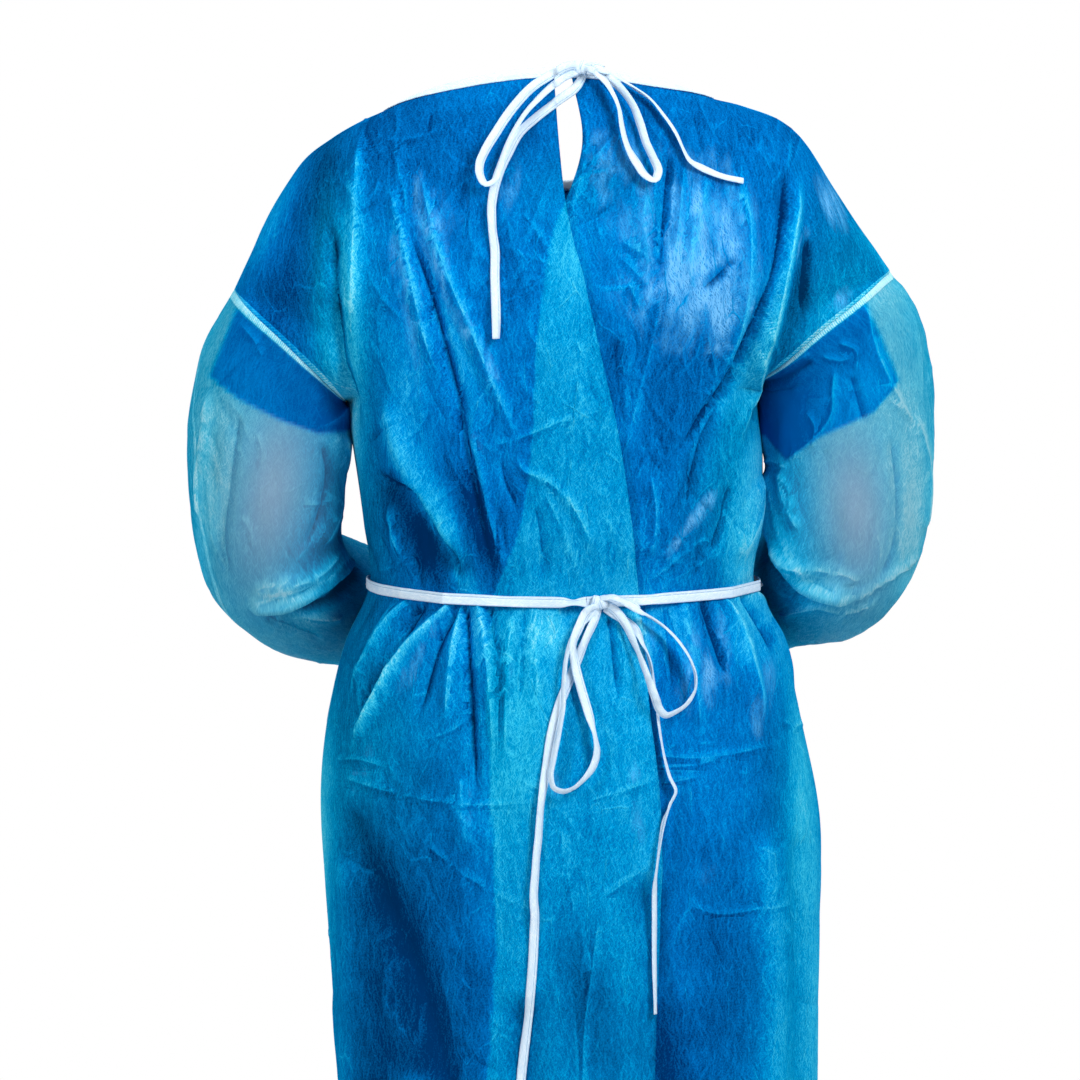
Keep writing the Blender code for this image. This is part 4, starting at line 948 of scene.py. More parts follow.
def share_of_face(values, first, last, columns):
    """A panel's part of a face: each row from its first to its last angle."""
    angle = first[:, None] + (last - first)[:, None] * np.linspace(0, 1, columns)
    column = (angle + 90) / 180 * (FACE_COLUMNS - 1)
    i = np.clip(column.astype(int), 0, FACE_COLUMNS - 2)
    s = (column - i)[..., None]
    rows = np.arange(len(values))[:, None]
    return values[rows, i] * (1 - s) + values[rows, i + 1] * s, angle


def edge_angles(points, which):
    """The angle of a back panel's free edge on each row. which is 1 for the left panel, 2 for the right one."""
    heights = [row[0] for row in OPENING]
    edge_x = read_at(heights, [(row[which],) for row in OPENING], ROWS)[:, 0]
    return np.array([np.interp(x, row[:, 0], ANGLES) for x, row in zip(edge_x, points, strict=True)])


def off_seam(points, starts, ends):
    """How far each point is from the seams at its row's start and end, up to SEAM_REACH. Beside the armholes it
    counts for less, so that the strip is wider."""
    run = run_across(points)
    counted = 1 - 0.35 * smooth_step((ROWS - TORSO[-1][0]) / 0.06)[:, None]
    gap = np.full(run.shape, SEAM_REACH)
    for seam, apart in ((starts, run), (ends, run[:, -1:] - run)):
        if seam:
            gap = np.minimum(gap, apart * counted)
    return gap


# Looks for the finish: the first adds painted light and shade to the cloth's own tone, the second paints
# highlights, and the last two paint light and shade along fold lines.
LOOKS = ("tone", "painted_highlight", "clear", "gap", "sharp")


def worn(face, points, normals):
    """The smooth body with its folds put in, how far they stand out, and its looks at each point, among them its
    painted light, shade and highlights.
    """
    places = points[:, :, (0, 2)].reshape(-1, 2)
    found = [fold_heights(places, *table) for table in fold_tables(face)]
    folds, gap, sharp = (values.reshape(points.shape[:2]) for values in nearest_lines(found))
    sides = smooth_step((90 - np.abs(ANGLES)) / 9)
    neck = smooth_step((len(points) - 1 - np.arange(len(points))) / 9)
    belt = 1 - 0.75 * bell(ROWS - WAIST_Z, 0.011)
    folds = folds * FOLD_DEPTH * sides * (neck * belt)[:, None]
    loose = sway(points) * (0.35 + 0.65 * neck * belt)[:, None]
    fine = (crumple(points) - 0.3) * 0.0020 * sides * neck[:, None]
    tables = (BACK_SHADE_AND_TONES, BACK_PAINTED_HIGHLIGHTS, BACK_CLEAR) if face == "back" else ((), FRONT_PAINTED_HIGHLIGHTS, ())
    tone, painted_highlight, clear = (tone_at(places, table).reshape(folds.shape) for table in tables)
    if face == "back":
        # painted light and shade at the steps in the back
        tone += step_light_and_shade(places, BACK_FOLDS).reshape(folds.shape) * 0.6
    looks = np.stack([tone, painted_highlight, clear, gap, sharp * (sides * belt[:, None])], axis=-1)
    return points + normals * (folds + loose + fine)[..., None], folds, looks


def outward_normals(points, face):
    """A face's normals averaged with their neighbours, so that folds run even at corners of the body."""
    normals = grid_normals(points) if face == "back" else -grid_normals(points)
    for _ in range(6):
        normals = eased(eased(normals, 1).swapaxes(0, 1), 1).swapaxes(0, 1)
    return unit(normals)


def lap_shift(angle, outer):
    nearness = smooth_step(1 - np.abs(angle) / LAP_REACH)
    fade = np.clip(1 - (ROWS - ROWS[-1] + 0.097) / 0.05, 0, 1)[:, None]
    return (-LAP if outer else LAP) * nearness * fade


def body_panels(finish):
    """The two lapped back panels and the front one, with their meshes' grids."""
    side = np.full(len(ROWS), 90.0)
    grids = {}
    for face in ("back", "front"):
        points = face_points(face)
        shaped, folds, looks = worn(face, points, outward_normals(points, face))
        values = np.concatenate([shaped, flat_lay(points), folds[..., None] / FOLD_STAND, looks], axis=-1)
        left_edge, right_edge = edge_angles(points, 1), edge_angles(points, 2)
        shares = {"back_left": (-side, left_edge, 113), "back_right": (right_edge, side, 109)}
        if face == "front":
            shares = {"front": (side, -side, 117)}
        for name, share in shares.items():
            cut, angle = share_of_face(values, *share)
            grid, lay, stand_and_looks = np.split(cut, (3, 5), axis=-1)
            if face == "back":
                grid[:, :, 1] += lap_shift(angle, name == "back_left")
            doubled = smooth_step((angle - right_edge[:, None]) / 0.6) if name == "back_left" else 0 * angle
            marks = dict(zip(("stand", *LOOKS), np.moveaxis(stand_and_looks, -1, 0), strict=True))
            marks["off_seam"] = off_seam(grid, name != "back_right", name != "back_left")
            marks["doubled"] = doubled
            grids[name] = (cloth_wall(name + "_panel", grid, lay, marks, finish, name), grid)
    return grids


# ---------------------------------------------------------------- sleeves


TOUCH = 0.00001
SLEEVE_LOOKS = {
    "left": (LEFT_ARM_FOLDS, LEFT_SLEEVE_FOLDS, LEFT_ARM_SHADE_AND_TONES, LEFT_ARM_GREY),
    "right": (RIGHT_ARM_FOLDS, RIGHT_SLEEVE_FOLDS, RIGHT_ARM_SHADE_AND_TONES, RIGHT_ARM_GREY),
}
DEEP = {"left": (LEFT_DEEP, LEFT_DEEP_SIDE), "right": (RIGHT_DEEP, RIGHT_DEEP_SIDE)}
SEAM_TURN = {"left": 0.60, "right": -0.15}  # where the sleeve's own seam lies, in radians from its top
SLEEVE_SEED = {"left": 31, "right": 32}


def armhole_loop(grids, side):
    """Points round an armhole: from the shoulder point down its back edge and up its front edge."""
    back = grids["back_" + side][1][FIRST_ARMHOLE_ROW : SHOULDER_ROW + 1, 0 if side == "left" else -1][::-1]
    front = grids["front"][1][FIRST_ARMHOLE_ROW + 1 : SHOULDER_ROW, -1 if side == "left" else 0]
    loop = np.concatenate([back, front])
    loop[0, 1] = loop[ARMHOLE_ROWS, 1] = 0
    between = (loop + np.roll(loop, -1, axis=0)) / 2
    return np.stack([loop, between], axis=1).reshape(-1, 3)


def sleeve_rings(loop, table, side):
    """The armhole's loop and plain oval rings down to the cuff, all with their points in the same order."""
    rows = np.array(table)
    steps = np.arange(0, len(rows) - 0.99, 0.5)
    sections = read_at(np.arange(len(rows)), rows, steps)
    middle = (loop[0] + loop[len(loop) // 2]) / 2
    centres = [Vector(middle)] + [Vector(section[:3]) for section in sections]
    last = len(centres) - 1
    ahead = [(centres[min(i + 1, last)] - centres[max(i - 1, 0)]).normalized() for i in range(last + 1)]
    out = Vector(loop[0] - middle).normalized()
    ahead[0] = Vector((math.copysign(1, middle[0]) * out.z, 0, -abs(out.x)))
    rings = [loop + np.array(ahead[0]) * TOUCH]
    turn = np.arange(len(loop)) * 2 * np.pi / len(loop)
    for i, section in enumerate(sections, 1):
        out = ahead[i - 1].rotation_difference(ahead[i]) @ out
        out = (out - ahead[i] * out.dot(ahead[i])).normalized()
        back = out.cross(ahead[i]) if side == "left" else ahead[i].cross(out)
        ring = np.outer(np.cos(turn), out) * section[3] + np.outer(np.sin(turn), back) * section[4]
        rings.append(np.array(centres[i]) + ring)
    return np.array(rings), turn


def sleeve_grid(rings):
    """The rings joined by smooth lines and cut again at even steps."""
    run = run_along(rings.mean(axis=1))
    along = np.linspace(0, run[-1], round(run[-1] / SLEEVE_STEP) + 1)
    grid = read_at(run, rings.reshape(len(rings), -1), along).reshape(len(along), -1, 3)
    near = bell(along[1:-1] - 0.034, 0.030)[:, None, None] * 0.5
    for _ in range(14):
        grid[1:-1] += near * ((grid[:-2] + grid[2:]) / 2 - grid[1:-1])
    return grid, along


def cuff_gathers(around, along, length):
    """The elastic edge draws the cuff into small even gathers."""
    near = smooth_step((along - length + 0.042) / 0.034)
    wave = np.cos(around / 0.0017 + 1.7 * np.sin(around / 0.013) + 0.8 * np.sin(around / 0.031))
    band = 1 - 0.55 * smooth_step((along - length + 0.010) / 0.003)
    return 0.0016 * near * band * wave


def deep_mark(points, edge, side):
    """1 where the sleeve looks deep blue, which ends along a line down its arm and before its outer side."""
    x, z = points[..., 0], points[..., 2]
    edge = np.array(edge)
    below = smooth_step((z - np.interp(x, edge[:, 0], edge[:, 1])) / 0.005 + 0.5)
    limit = side[0] + (z - side[1]) * side[2]
    within = (limit - x) * math.copysign(1, side[0])
    return below * smooth_step(within / 0.008 + 0.5)


def sleeve_folds(side, places, seen, faces_back):
    """The sleeve's folds round it, its small creases and, where it faces back, its folds as they are seen."""
    arm_folds, round_folds = SLEEVE_LOOKS[side][:2]
    creases = scattered_creases(SLEEVE_SEED[side], 110, (-0.19, 0.01), (0.19, 0.38), 0.7)
    heights, gap, sharp = fold_heights(seen, arm_folds, 0.12, 0.12)
    at_back = heights * faces_back * ARM_FOLD_DEPTH, np.where(faces_back > 0.3, gap, LINE_REACH), sharp
    round_it = fold_heights(places, round_folds, 0.2, 0.25)
    return nearest_lines([round_it, fold_heights(places, creases, 0.3, 0.3, 0.45), at_back])


def sleeve(side, table, grids, finish):
    """A sleeve from its armhole to its cuff, on rings of points that start at its top."""
    rings, turn = sleeve_rings(armhole_loop(grids, side), table, side)
    grid, along = sleeve_grid(rings)
    if side == "right":
        grid, turn = grid[:, ::-1], turn[::-1]
    turn = np.where(turn > np.pi, turn - 2 * np.pi, turn)
    around = (turn * ROUND_SCALE)[None].repeat(len(grid), axis=0)
    down = along[:, None].repeat(grid.shape[1], axis=1)
    normals = -grid_normals(grid, closed=True)
    places = np.stack([around, down], axis=-1).reshape(-1, 2)
    seen = grid[:, :, (0, 2)].reshape(-1, 2)
    rear = smooth_step((np.sin(turn) + 0.1) / 0.4)[None]
    forearm = smooth_step((down - 0.33) / 0.05)
    folded = smooth_step((down - 0.28) / 0.05)
    folds = sleeve_folds(side, places, seen, (rear * (1 - forearm)).ravel())
    heights, gap, sharp = (values.reshape(around.shape) for values in folds)
    open_end = smooth_step(down / 0.012)
    gathers = cuff_gathers(around, down, along[-1])
    fine = (crumple(grid) - 0.3) * 0.0016
    inner = 0.007 * bell(np.abs(turn) - np.pi, 0.6)[None] * smooth_step(down / 0.03)
    inner = inner * smooth_step((0.13 - down) / 0.05)
    moved = (heights + fine) * open_end + inner + gathers + sway(grid) * (0.25 + 0.75 * open_end) * open_end
    grid = grid + normals * moved[..., None]

    def painted(table):
        return tone_at(grid[:, :, (0, 2)].reshape(-1, 2), table).reshape(around.shape)

    arm_folds, _, tones, greys = SLEEVE_LOOKS[side]
    # painted light and shade at the steps in the sleeve
    steps = step_light_and_shade(grid[:, :, (0, 2)].reshape(-1, 2), arm_folds).reshape(around.shape)
    off_own = np.abs(turn[None] - SEAM_TURN[side] * smooth_step(down / 0.09)) * ROUND_SCALE
    off_own = np.maximum(off_own * 1.3, SEAM_STRIP - 0.0001)
    deep = deep_mark(grid, *DEEP[side]) * smooth_step((down - SEAM_STRIP) / 0.001)
    marks = {
        "stand": heights / FOLD_STAND,
        "off_seam": np.minimum(np.minimum(down, off_own), SEAM_REACH),
        "deep": deep,
        # painted light and shade on the sleeve's folds and steps, with its own lighter or deeper tone
        "tone": (painted(tones) + 0.6 * steps) * rear,
        "gap": gap,
        "sharp": sharp * open_end,
        "grey": np.minimum(painted(greys), 1) * rear * (1 - deep),
        # painted highlights on the sleeve's back
        "painted_highlight": painted(ARM_PAINTED_HIGHLIGHTS) * rear,
        "clear": 1 - deep * 0.9,
        "bent": np.minimum(folded + painted(ARM_BENT), 1),
        "edge": (np.cos(turn) ** 2)[None] ** 3,
    }
    span = np.linspace(0, 2 * np.pi * ROUND_SCALE, grid.shape[1] + 1)
    lay = np.stack(np.broadcast_arrays(span[None], -along[:, None]), axis=-1)
    marks = {mark: np.broadcast_to(values, around.shape)[::-1] for mark, values in marks.items()}
    name, node = side + "_sleeve", "sleeve_" + side
    return cloth_wall(name, grid[::-1], lay[::-1], marks, finish, node, closed=True)


# ---------------------------------------------------------------- tape


# Half of the tape's cross-section, edge to edge across its outer face: share of its width, share of its
# thickness. The dip is the row of stitching that closes the fold.
TAPE_FACE = (
    (-0.500, 0.06), (-0.480, 0.38), (-0.400, 0.50), (-0.300, 0.48), (-0.262, 0.20),
    (-0.225, 0.44), (0.000, 0.50), (0.300, 0.48), (0.440, 0.44), (0.500, 0.12),
)
TAPE_SECTION = TAPE_FACE + tuple((a, -b) for a, b in TAPE_FACE[::-1])
TAPE_SHARES = [a + 0.5 for a, _ in TAPE_SECTION]


def tube_mesh(name, rings, shares, closed=False):
    """A body through rings of points, with a UV map: the share of the way across, and metres along."""
    count, sides = rings.shape[:2]
    run = run_along(rings.mean(axis=1))
    shape = bmesh.new()
    lay = shape.loops.layers.uv.new("lay")
    verts = [[shape.verts.new(point) for point in ring] for ring in rings.tolist()]
    for i in range(count if closed else count - 1):
        j = (i + 1) % count
        for k in range(sides):
            m = (k + 1) % sides
            face = shape.faces.new((verts[i][k], verts[j][k], verts[j][m], verts[i][m]))
            face.smooth = True
            ahead = run[j] if j else run[-1] + run[1]
            for loop, place in zip(face.loops, ((k, run[i]), (k, ahead), (m, ahead), (m, run[i])), strict=True):
                loop[lay].uv = (shares[place[0]], place[1])
    if not closed:
        for ring in (verts[0], verts[-1][::-1]):
            shape.faces.new(ring)
    bmesh.ops.recalc_face_normals(shape, faces=shape.faces)
    mesh = bpy.data.meshes.new(name)
    shape.to_mesh(mesh)
    shape.free()
    return mesh


def tape_rings(centres, across, out, curl, width=TAPE_WIDTH):
    """Cross-sections of a tape. curl bows each one up or down across its width, in metres at the edges."""
    section = np.array(TAPE_SECTION)
    lifts = section[:, 1] * TAPE + curl[:, None] * (2 * section[:, 0]) ** 2
    return (
        centres[:, None]
        + across[:, None] * (section[:, 0] * width)[None, :, None]
        + out[:, None] * lifts[..., None]
    )


def rolled(across, out, turn):
    """The two directions of a tape's cross-section, rolled about its length."""
    cos, sin = np.cos(turn)[:, None], np.sin(turn)[:, None]
    return across * cos + out * sin, out * cos - across * sin


def surface_tree(grids):
    points, faces = [], []
    for grid in grids.values():
        faces += (len(points) + grid_faces(*grid.shape[:2])).tolist()
        points += grid.reshape(-1, 3).tolist()
    return BVHTree.FromPolygons(points, faces)


def hull(points):
    """The convex outline of points in a plane, counter-clockwise."""
    points = sorted(points)
    sides = []
    for run in (points, points[::-1]):
        chain = []
        for x, y in run:
            while len(chain) > 1:
                (ax, ay), (bx, by) = chain[-2:]
                if (bx - ax) * (y - ay) > (by - ay) * (x - ax):
                    break
                chain.pop()
            chain.append((x, y))
        sides += chain[:-1]
    return sides


def away_at(turn):
    return Vector((-math.sin(math.radians(turn)), -math.cos(math.radians(turn)), 0))


def belt_height(turn):
    """The belt's height at a turn from the back's centre line. It sags to its knot."""
    nearness = max(0.0, math.cos(math.radians(turn)))
    return WAIST_Z + (KNOTS["waist_knot"][1] - WAIST_Z) * nearness


def belt_fence(tree):
    """An upright wall on the taut line round the waist."""
    points = []
    for turn in range(0, 360, 3):
        away = away_at(turn)
        for step in (-0.6, 0, 0.6):
            start = away * 0.5 + Vector((0, 0, belt_height(turn) + step * TAPE_WIDTH))
            while True:
                hit = tree.ray_cast(start, -away)[0]
                if hit is None or hit.xy.length < 0.175:
                    break
                start = hit - away * 0.001
            if hit:
                points.append((hit.x, hit.y))
    outline = hull(points)
    corners = [Vector((x, y, h)) for x, y in outline + outline[:1] for h in (-1, 1)]
    walls = [(2 * i, 2 * i + 2, 2 * i + 3, 2 * i + 1) for i in range(len(outline))]
    return BVHTree.FromPolygons(corners, walls)


# Where the belt rolls up on its edge and back: place as a turn from the centre of the back, half its length,
# and how far it rolls, all in degrees.
BELT_ROLLS = (
    (5.0, 4.5, 64), (34.0, 6.0, 30), (-22.0, 7.0, 24), (95.0, 6.0, 40), (200.0, 8.0, 50), (260.0, 5.0, 35),
)
BELT_START = 10.3  # turn at which its two ends meet, under the knot
BELT_SECTIONS = 656
BELT_CLEAR = 0.0010  # for folds that stand out between the places where the waist is measured


def belt_roll(turn):
    return math.radians(sum(most * bell((turn - at + 180) % 360 - 180, half) for at, half, most in BELT_ROLLS))


def belt(tree, finish):
    """The belt lies on the body from one side of its knot, round the front, to the other side."""
    fence = belt_fence(tree)
    turns = np.linspace(BELT_START, BELT_START + 359.9, BELT_SECTIONS)
    over = np.array([belt_roll(turn) for turn in turns])
    centres = []
    for turn, roll in zip(turns, over, strict=True):
        away = away_at(-turn)
        hit = fence.ray_cast(away * 0.5, -away)[0]
        off = BELT_CLEAR + LIE + TAPE / 2 + TAPE_WIDTH / 2 * math.sin(roll)
        centres.append(hit + away * off + Vector((0, 0, belt_height(turn))))
    centres = np.array(centres)
    ahead = unit(np.gradient(centres, axis=0))
    out = unit(np.stack([-ahead[:, 1], ahead[:, 0], np.zeros(len(ahead))], axis=-1))
    out *= np.sign((out * centres).sum(axis=1, keepdims=True))
    rings = tape_rings(centres, *rolled(np.cross(ahead, out), out, over), 0.0003 * drift_noise(centres, 30, 8))
    mesh = tube_mesh("waist_belt_tape", rings, TAPE_SHARES)
    add_piece("waist_belt_tape", mesh, finish, "waist_belt")
    return rings


# Cross-section of the binding folded over the neck edge: metres down the cloth, and out from its outer face.
BINDING_SECTION = (
    (0.0086, 0.00025), (0.0088, 0.00070), (0.0082, 0.00105), (0.0070, 0.00100), (0.0066, 0.00070),
    (0.0062, 0.00100), (0.0030, 0.00115), (0.0004, 0.00110), (-0.0008, 0.00075), (-0.0013, 0.00005),
    (-0.0013, -0.00065), (-0.0008, -0.00130), (0.0004, -0.00165), (0.0040, -0.00165), (0.0080, -0.00160),
    (0.0086, -0.00080), (0.0050, -0.00075), (0.0005, -0.00078), (-0.0003, -0.00040), (-0.0003, 0.00000),
    (0.0005, 0.00022), (0.0050, 0.00022),
)


def binding(grids, finish):
    """Tape folded over the neckline, with the cloth's edge inside the fold, from one free edge to the other."""
    left, front, right = grids["back_left"][1], grids["front"][1], grids["back_right"][1]

    def neckline(row):
        line = np.concatenate([left[row, ::-1], front[row, -2:0:-1], right[row, ::-1]])
        return eased(line[np.unique([*range(0, len(line), 2), len(line) - 1])], 4)

    top, below = neckline(-1), neckline(-4)
    ahead = unit(np.gradient(top, axis=0))
    fall = below - top
    fall = unit(fall - ahead * (fall * ahead).sum(axis=1, keepdims=True))
    out = unit(np.cross(ahead, fall))
    top = np.concatenate([top[:1] - ahead[:1] * BINDING_RUN_ON, top])
    fall, out = np.concatenate([fall[:1], fall]), np.concatenate([out[:1], out])
    section = np.array(BINDING_SECTION)
    pucker = 1 + 0.10 * np.sin(np.arange(len(top)) * 1.9) + 0.08 * np.sin(np.arange(len(top)) * 0.83)
    lifts = section[:, 1][None, :, None] * pucker[:, None, None]
    rings = top[:, None] + fall[:, None] * section[None, :, :1] + out[:, None] * lifts
    shares = [min(1.0, max(0.0, 0.5 + a / (2 * TAPE_WIDTH))) for a, _ in BINDING_SECTION]
    mesh = tube_mesh("neck_binding_tape", rings, shares)
    add_piece("neck_binding_tape", mesh, finish, "neck_binding")
    return rings


def ring_surface(rings):
    """The rings of a tape as a grid that closes round."""
    return np.concatenate([rings, rings[:, :1]], axis=1)


def ground_under(tree, x, z):
    """The flat place on the back that a short length of tape would lie on: its y here, and its slopes along x
    and z."""
    places, found = [], []
    for step in (-1, 0, 1):
        for rise in (-1, 0, 1):
            dx, dz = step * TAPE_WIDTH * 0.55, rise * TAPE_WIDTH * 0.4
            hit = tree.ray_cast(Vector((x + dx, -1, z + dz)), Vector((0, 1, 0)))[0]
            if hit:
                places.append((1, dx, dz))
                found.append(hit.y)
    if len(found) < 5:
        return tree.find_nearest(Vector((x, -0.1, z)))[0].y, 0.0, 0.0
    places, found = np.array(places), np.array(found)
    near = found < found.min() + 0.012
    if near.sum() < 4:
        return found.min(), 0.0, 0.0
    level, slope_x, slope_z = np.linalg.lstsq(places[near], found[near], rcond=None)[0]
    proud = (found[near] - places[near] @ (level, slope_x, slope_z)).min()
    return level + proud, slope_x, slope_z


def window(reach):
    """Weights for neighbours up to this many places away."""
    return np.hanning(2 * reach + 3)[1:-1]


def tie_line(route):
    """The route's rows at close even steps."""
    table = np.array(route)
    run = run_along(table[:, :2])
    return read_at(run, table, np.linspace(0, run[-1], round(run[-1] / TAPE_STEP) + 1))


def knot_pull(name, rows):
    """How far each place on a tape is drawn in to its knot, and the layer of the knot that it enters."""
    start, end = (np.hypot(*(rows[:, :2] - rows[i, :2]).T) for i in (0, -1))
    pull = smooth_step(1 - start / KNOT_DRAW)
    if "loop" not in name:
        return pull, 0.0
    second = np.arange(len(rows)) > len(rows) / 2
    return np.where(second, smooth_step(1 - end / KNOT_DRAW), pull), np.where(second, 1.0, 2.0)


def tie(name, tree, knot_y, finish):
    """A loop or a tail of tape, along its route over the back."""
    rows = tie_line(ROUTES[name])
    ground = np.array([ground_under(tree, x, z) for x, z, _, _ in rows])
    level = np.minimum(ground[:, 0], blurred(ground[:, 0], window(4)))
    slopes = blurred(ground[:, 1:], window(5))
    turn = np.radians(rows[:, 3])
    steep = np.sqrt(1 + slopes[:, 0] ** 2 + slopes[:, 1] ** 2)
    bow = 0.0012 + 0.0009 * np.abs(drift_noise(np.stack([rows[:, 0], level, rows[:, 1]], axis=-1), 22, 6))
    free = level - (LIE + TAPE / 2 + bow + rows[:, 2] + TAPE_WIDTH / 2 * np.sin(turn)) * steep
    pull, layer = knot_pull(name, rows)
    target = knot_y + (1 - layer) * KNOT_LAYER
    lowest = level - (LIE + TAPE / 2) * steep
    depth = np.minimum(free + (target - free) * pull, lowest)
    depth = np.minimum(depth, blurred(depth, window(2)))
    centres = np.stack([rows[:, 0], depth, rows[:, 1]], axis=-1)
    ahead = unit(np.gradient(centres, axis=0))
    lie = unit(np.stack([slopes[:, 0], -np.ones(len(rows)), slopes[:, 1]], axis=-1))
    flat = unit(np.cross(ahead, lie))
    across, face = rolled(flat, unit(np.cross(flat, ahead)), turn + np.radians(4) * drift_noise(centres, 28, 5))
    squeeze = BOWED * (1 - 0.25 * pull)
    rings = tape_rings(centres, across * squeeze[:, None], face, -bow)
    obj = add_piece(name + "_tape", tube_mesh(name + "_tape", rings, TAPE_SHARES), finish, name)
    return obj, centres, float(run_along(centres)[-1])


# Turns of tape that make each knot: tilt in degrees, shift along x, half height, half depth, width
KNOT_TURNS = {
    "neck_knot": (
        (8, -0.0012, 0.0056, 0.0036, 0.0090),
        (-24, 0.0030, 0.0050, 0.0042, 0.0080),
        (62, 0.0004, 0.0062, 0.0026, 0.0078),
    ),
    "waist_knot": (
        (-14, -0.0030, 0.0058, 0.0034, 0.0078),
        (20, 0.0024, 0.0052, 0.0040, 0.0080),
        (70, 0.0000, 0.0058, 0.0024, 0.0076),
    ),
}
TURN_SECTIONS = 28


def knot_depth(name, tree):
    """The y of a knot's middle, so that it stands on what is behind it."""
    x, z, wide, deep, tall = KNOTS[name]
    steps = [(a, b) for a in (-1, -0.5, 0, 0.5, 1) for b in (-1, -0.5, 0, 0.5, 1)]
    hits = [tree.ray_cast(Vector((x + a * wide, -1, z + b * tall)), Vector((0, 1, 0)))[0] for a, b in steps]
    return min(hit.y for hit in hits if hit) - deep - LIE


def knot(name, depth, finish):
    """Short turns of tape wound over each other."""
    x, z = KNOTS[name][:2]
    middle = np.array((x, depth, z))
    joined = bmesh.new()
    for tilt, shift, tall, deep, width in KNOT_TURNS[name]:
        lean = math.radians(tilt)
        side = np.array((math.cos(lean), 0, math.sin(lean)))
        up = np.array((-math.sin(lean), 0, math.cos(lean)))
        turn = np.linspace(0, 2 * np.pi, TURN_SECTIONS, endpoint=False)
        swell = 1 + 0.07 * np.sin(3 * turn + tilt)
        ring = np.outer(np.cos(turn) * tall * swell, up) + np.outer(np.sin(turn) * deep, (0, -1, 0))
        centres = middle + (shift, 0, 0) + ring
        out = unit(np.outer(np.cos(turn) / tall, up) + np.outer(np.sin(turn) / deep, (0, -1, 0)))
        across = np.broadcast_to(side, centres.shape)
        rings = tape_rings(centres, across, out, np.full(TURN_SECTIONS, -0.0007), width)
        joined.from_mesh(tube_mesh("turn", rings, TAPE_SHARES, closed=True))
    mesh = bpy.data.meshes.new(name + "_turns")
    joined.to_mesh(mesh)
    joined.free()
    add_piece(name + "_turns", mesh, finish, name)


# ---------------------------------------------------------------- finishes


def linear(red, green, blue):
    """A colour as shaders take it, from its usual 0 to 255 values."""
    shares = (red / 255, green / 255, blue / 255)
    return (*(v / 12.92 if v <= 0.04045 else ((v + 0.055) / 1.055) ** 2.4 for v in shares), 1)


class Value:
    """What a node of a finish gives. It can be reckoned with as a number can."""

    def __init__(self, finish, socket):
        self.finish, self.socket = finish, socket

    def math(self, operation, first, second=0.0):
        return self.finish.node("Math", 0, {0: first, 1: second}, operation=operation)

    def __add__(self, other):
        return self.math("ADD", self, other)

    def __sub__(self, other):
        return self.math("SUBTRACT", self, other)

    def __rsub__(self, other):
        return self.math("SUBTRACT", other, self)

    def __mul__(self, other):
        return self.math("MULTIPLY", self, other)

    def __abs__(self):
        return self.math("ABSOLUTE", self)

    def sine(self):
        return self.math("SINE", self)

    def larger(self, other):
        return self.math("MAXIMUM", self, other)

    def clip(self, low, high):
        return self.math("MINIMUM", self.larger(low), high)

    def bell(self, width, steep=1.0):
        """1 where the value is 0, and less the farther it is from 0."""
        share = self * (1 / width)
        return self.math("EXPONENT", share * share * -steep)

    def between(self, low, high):
        """0 up to low, 1 from high on, and a smooth step between them."""
        fed = {"Value": self, "From Min": low, "From Max": high}
        return self.finish.node("MapRange", "Result", fed, interpolation_type="SMOOTHSTEP")


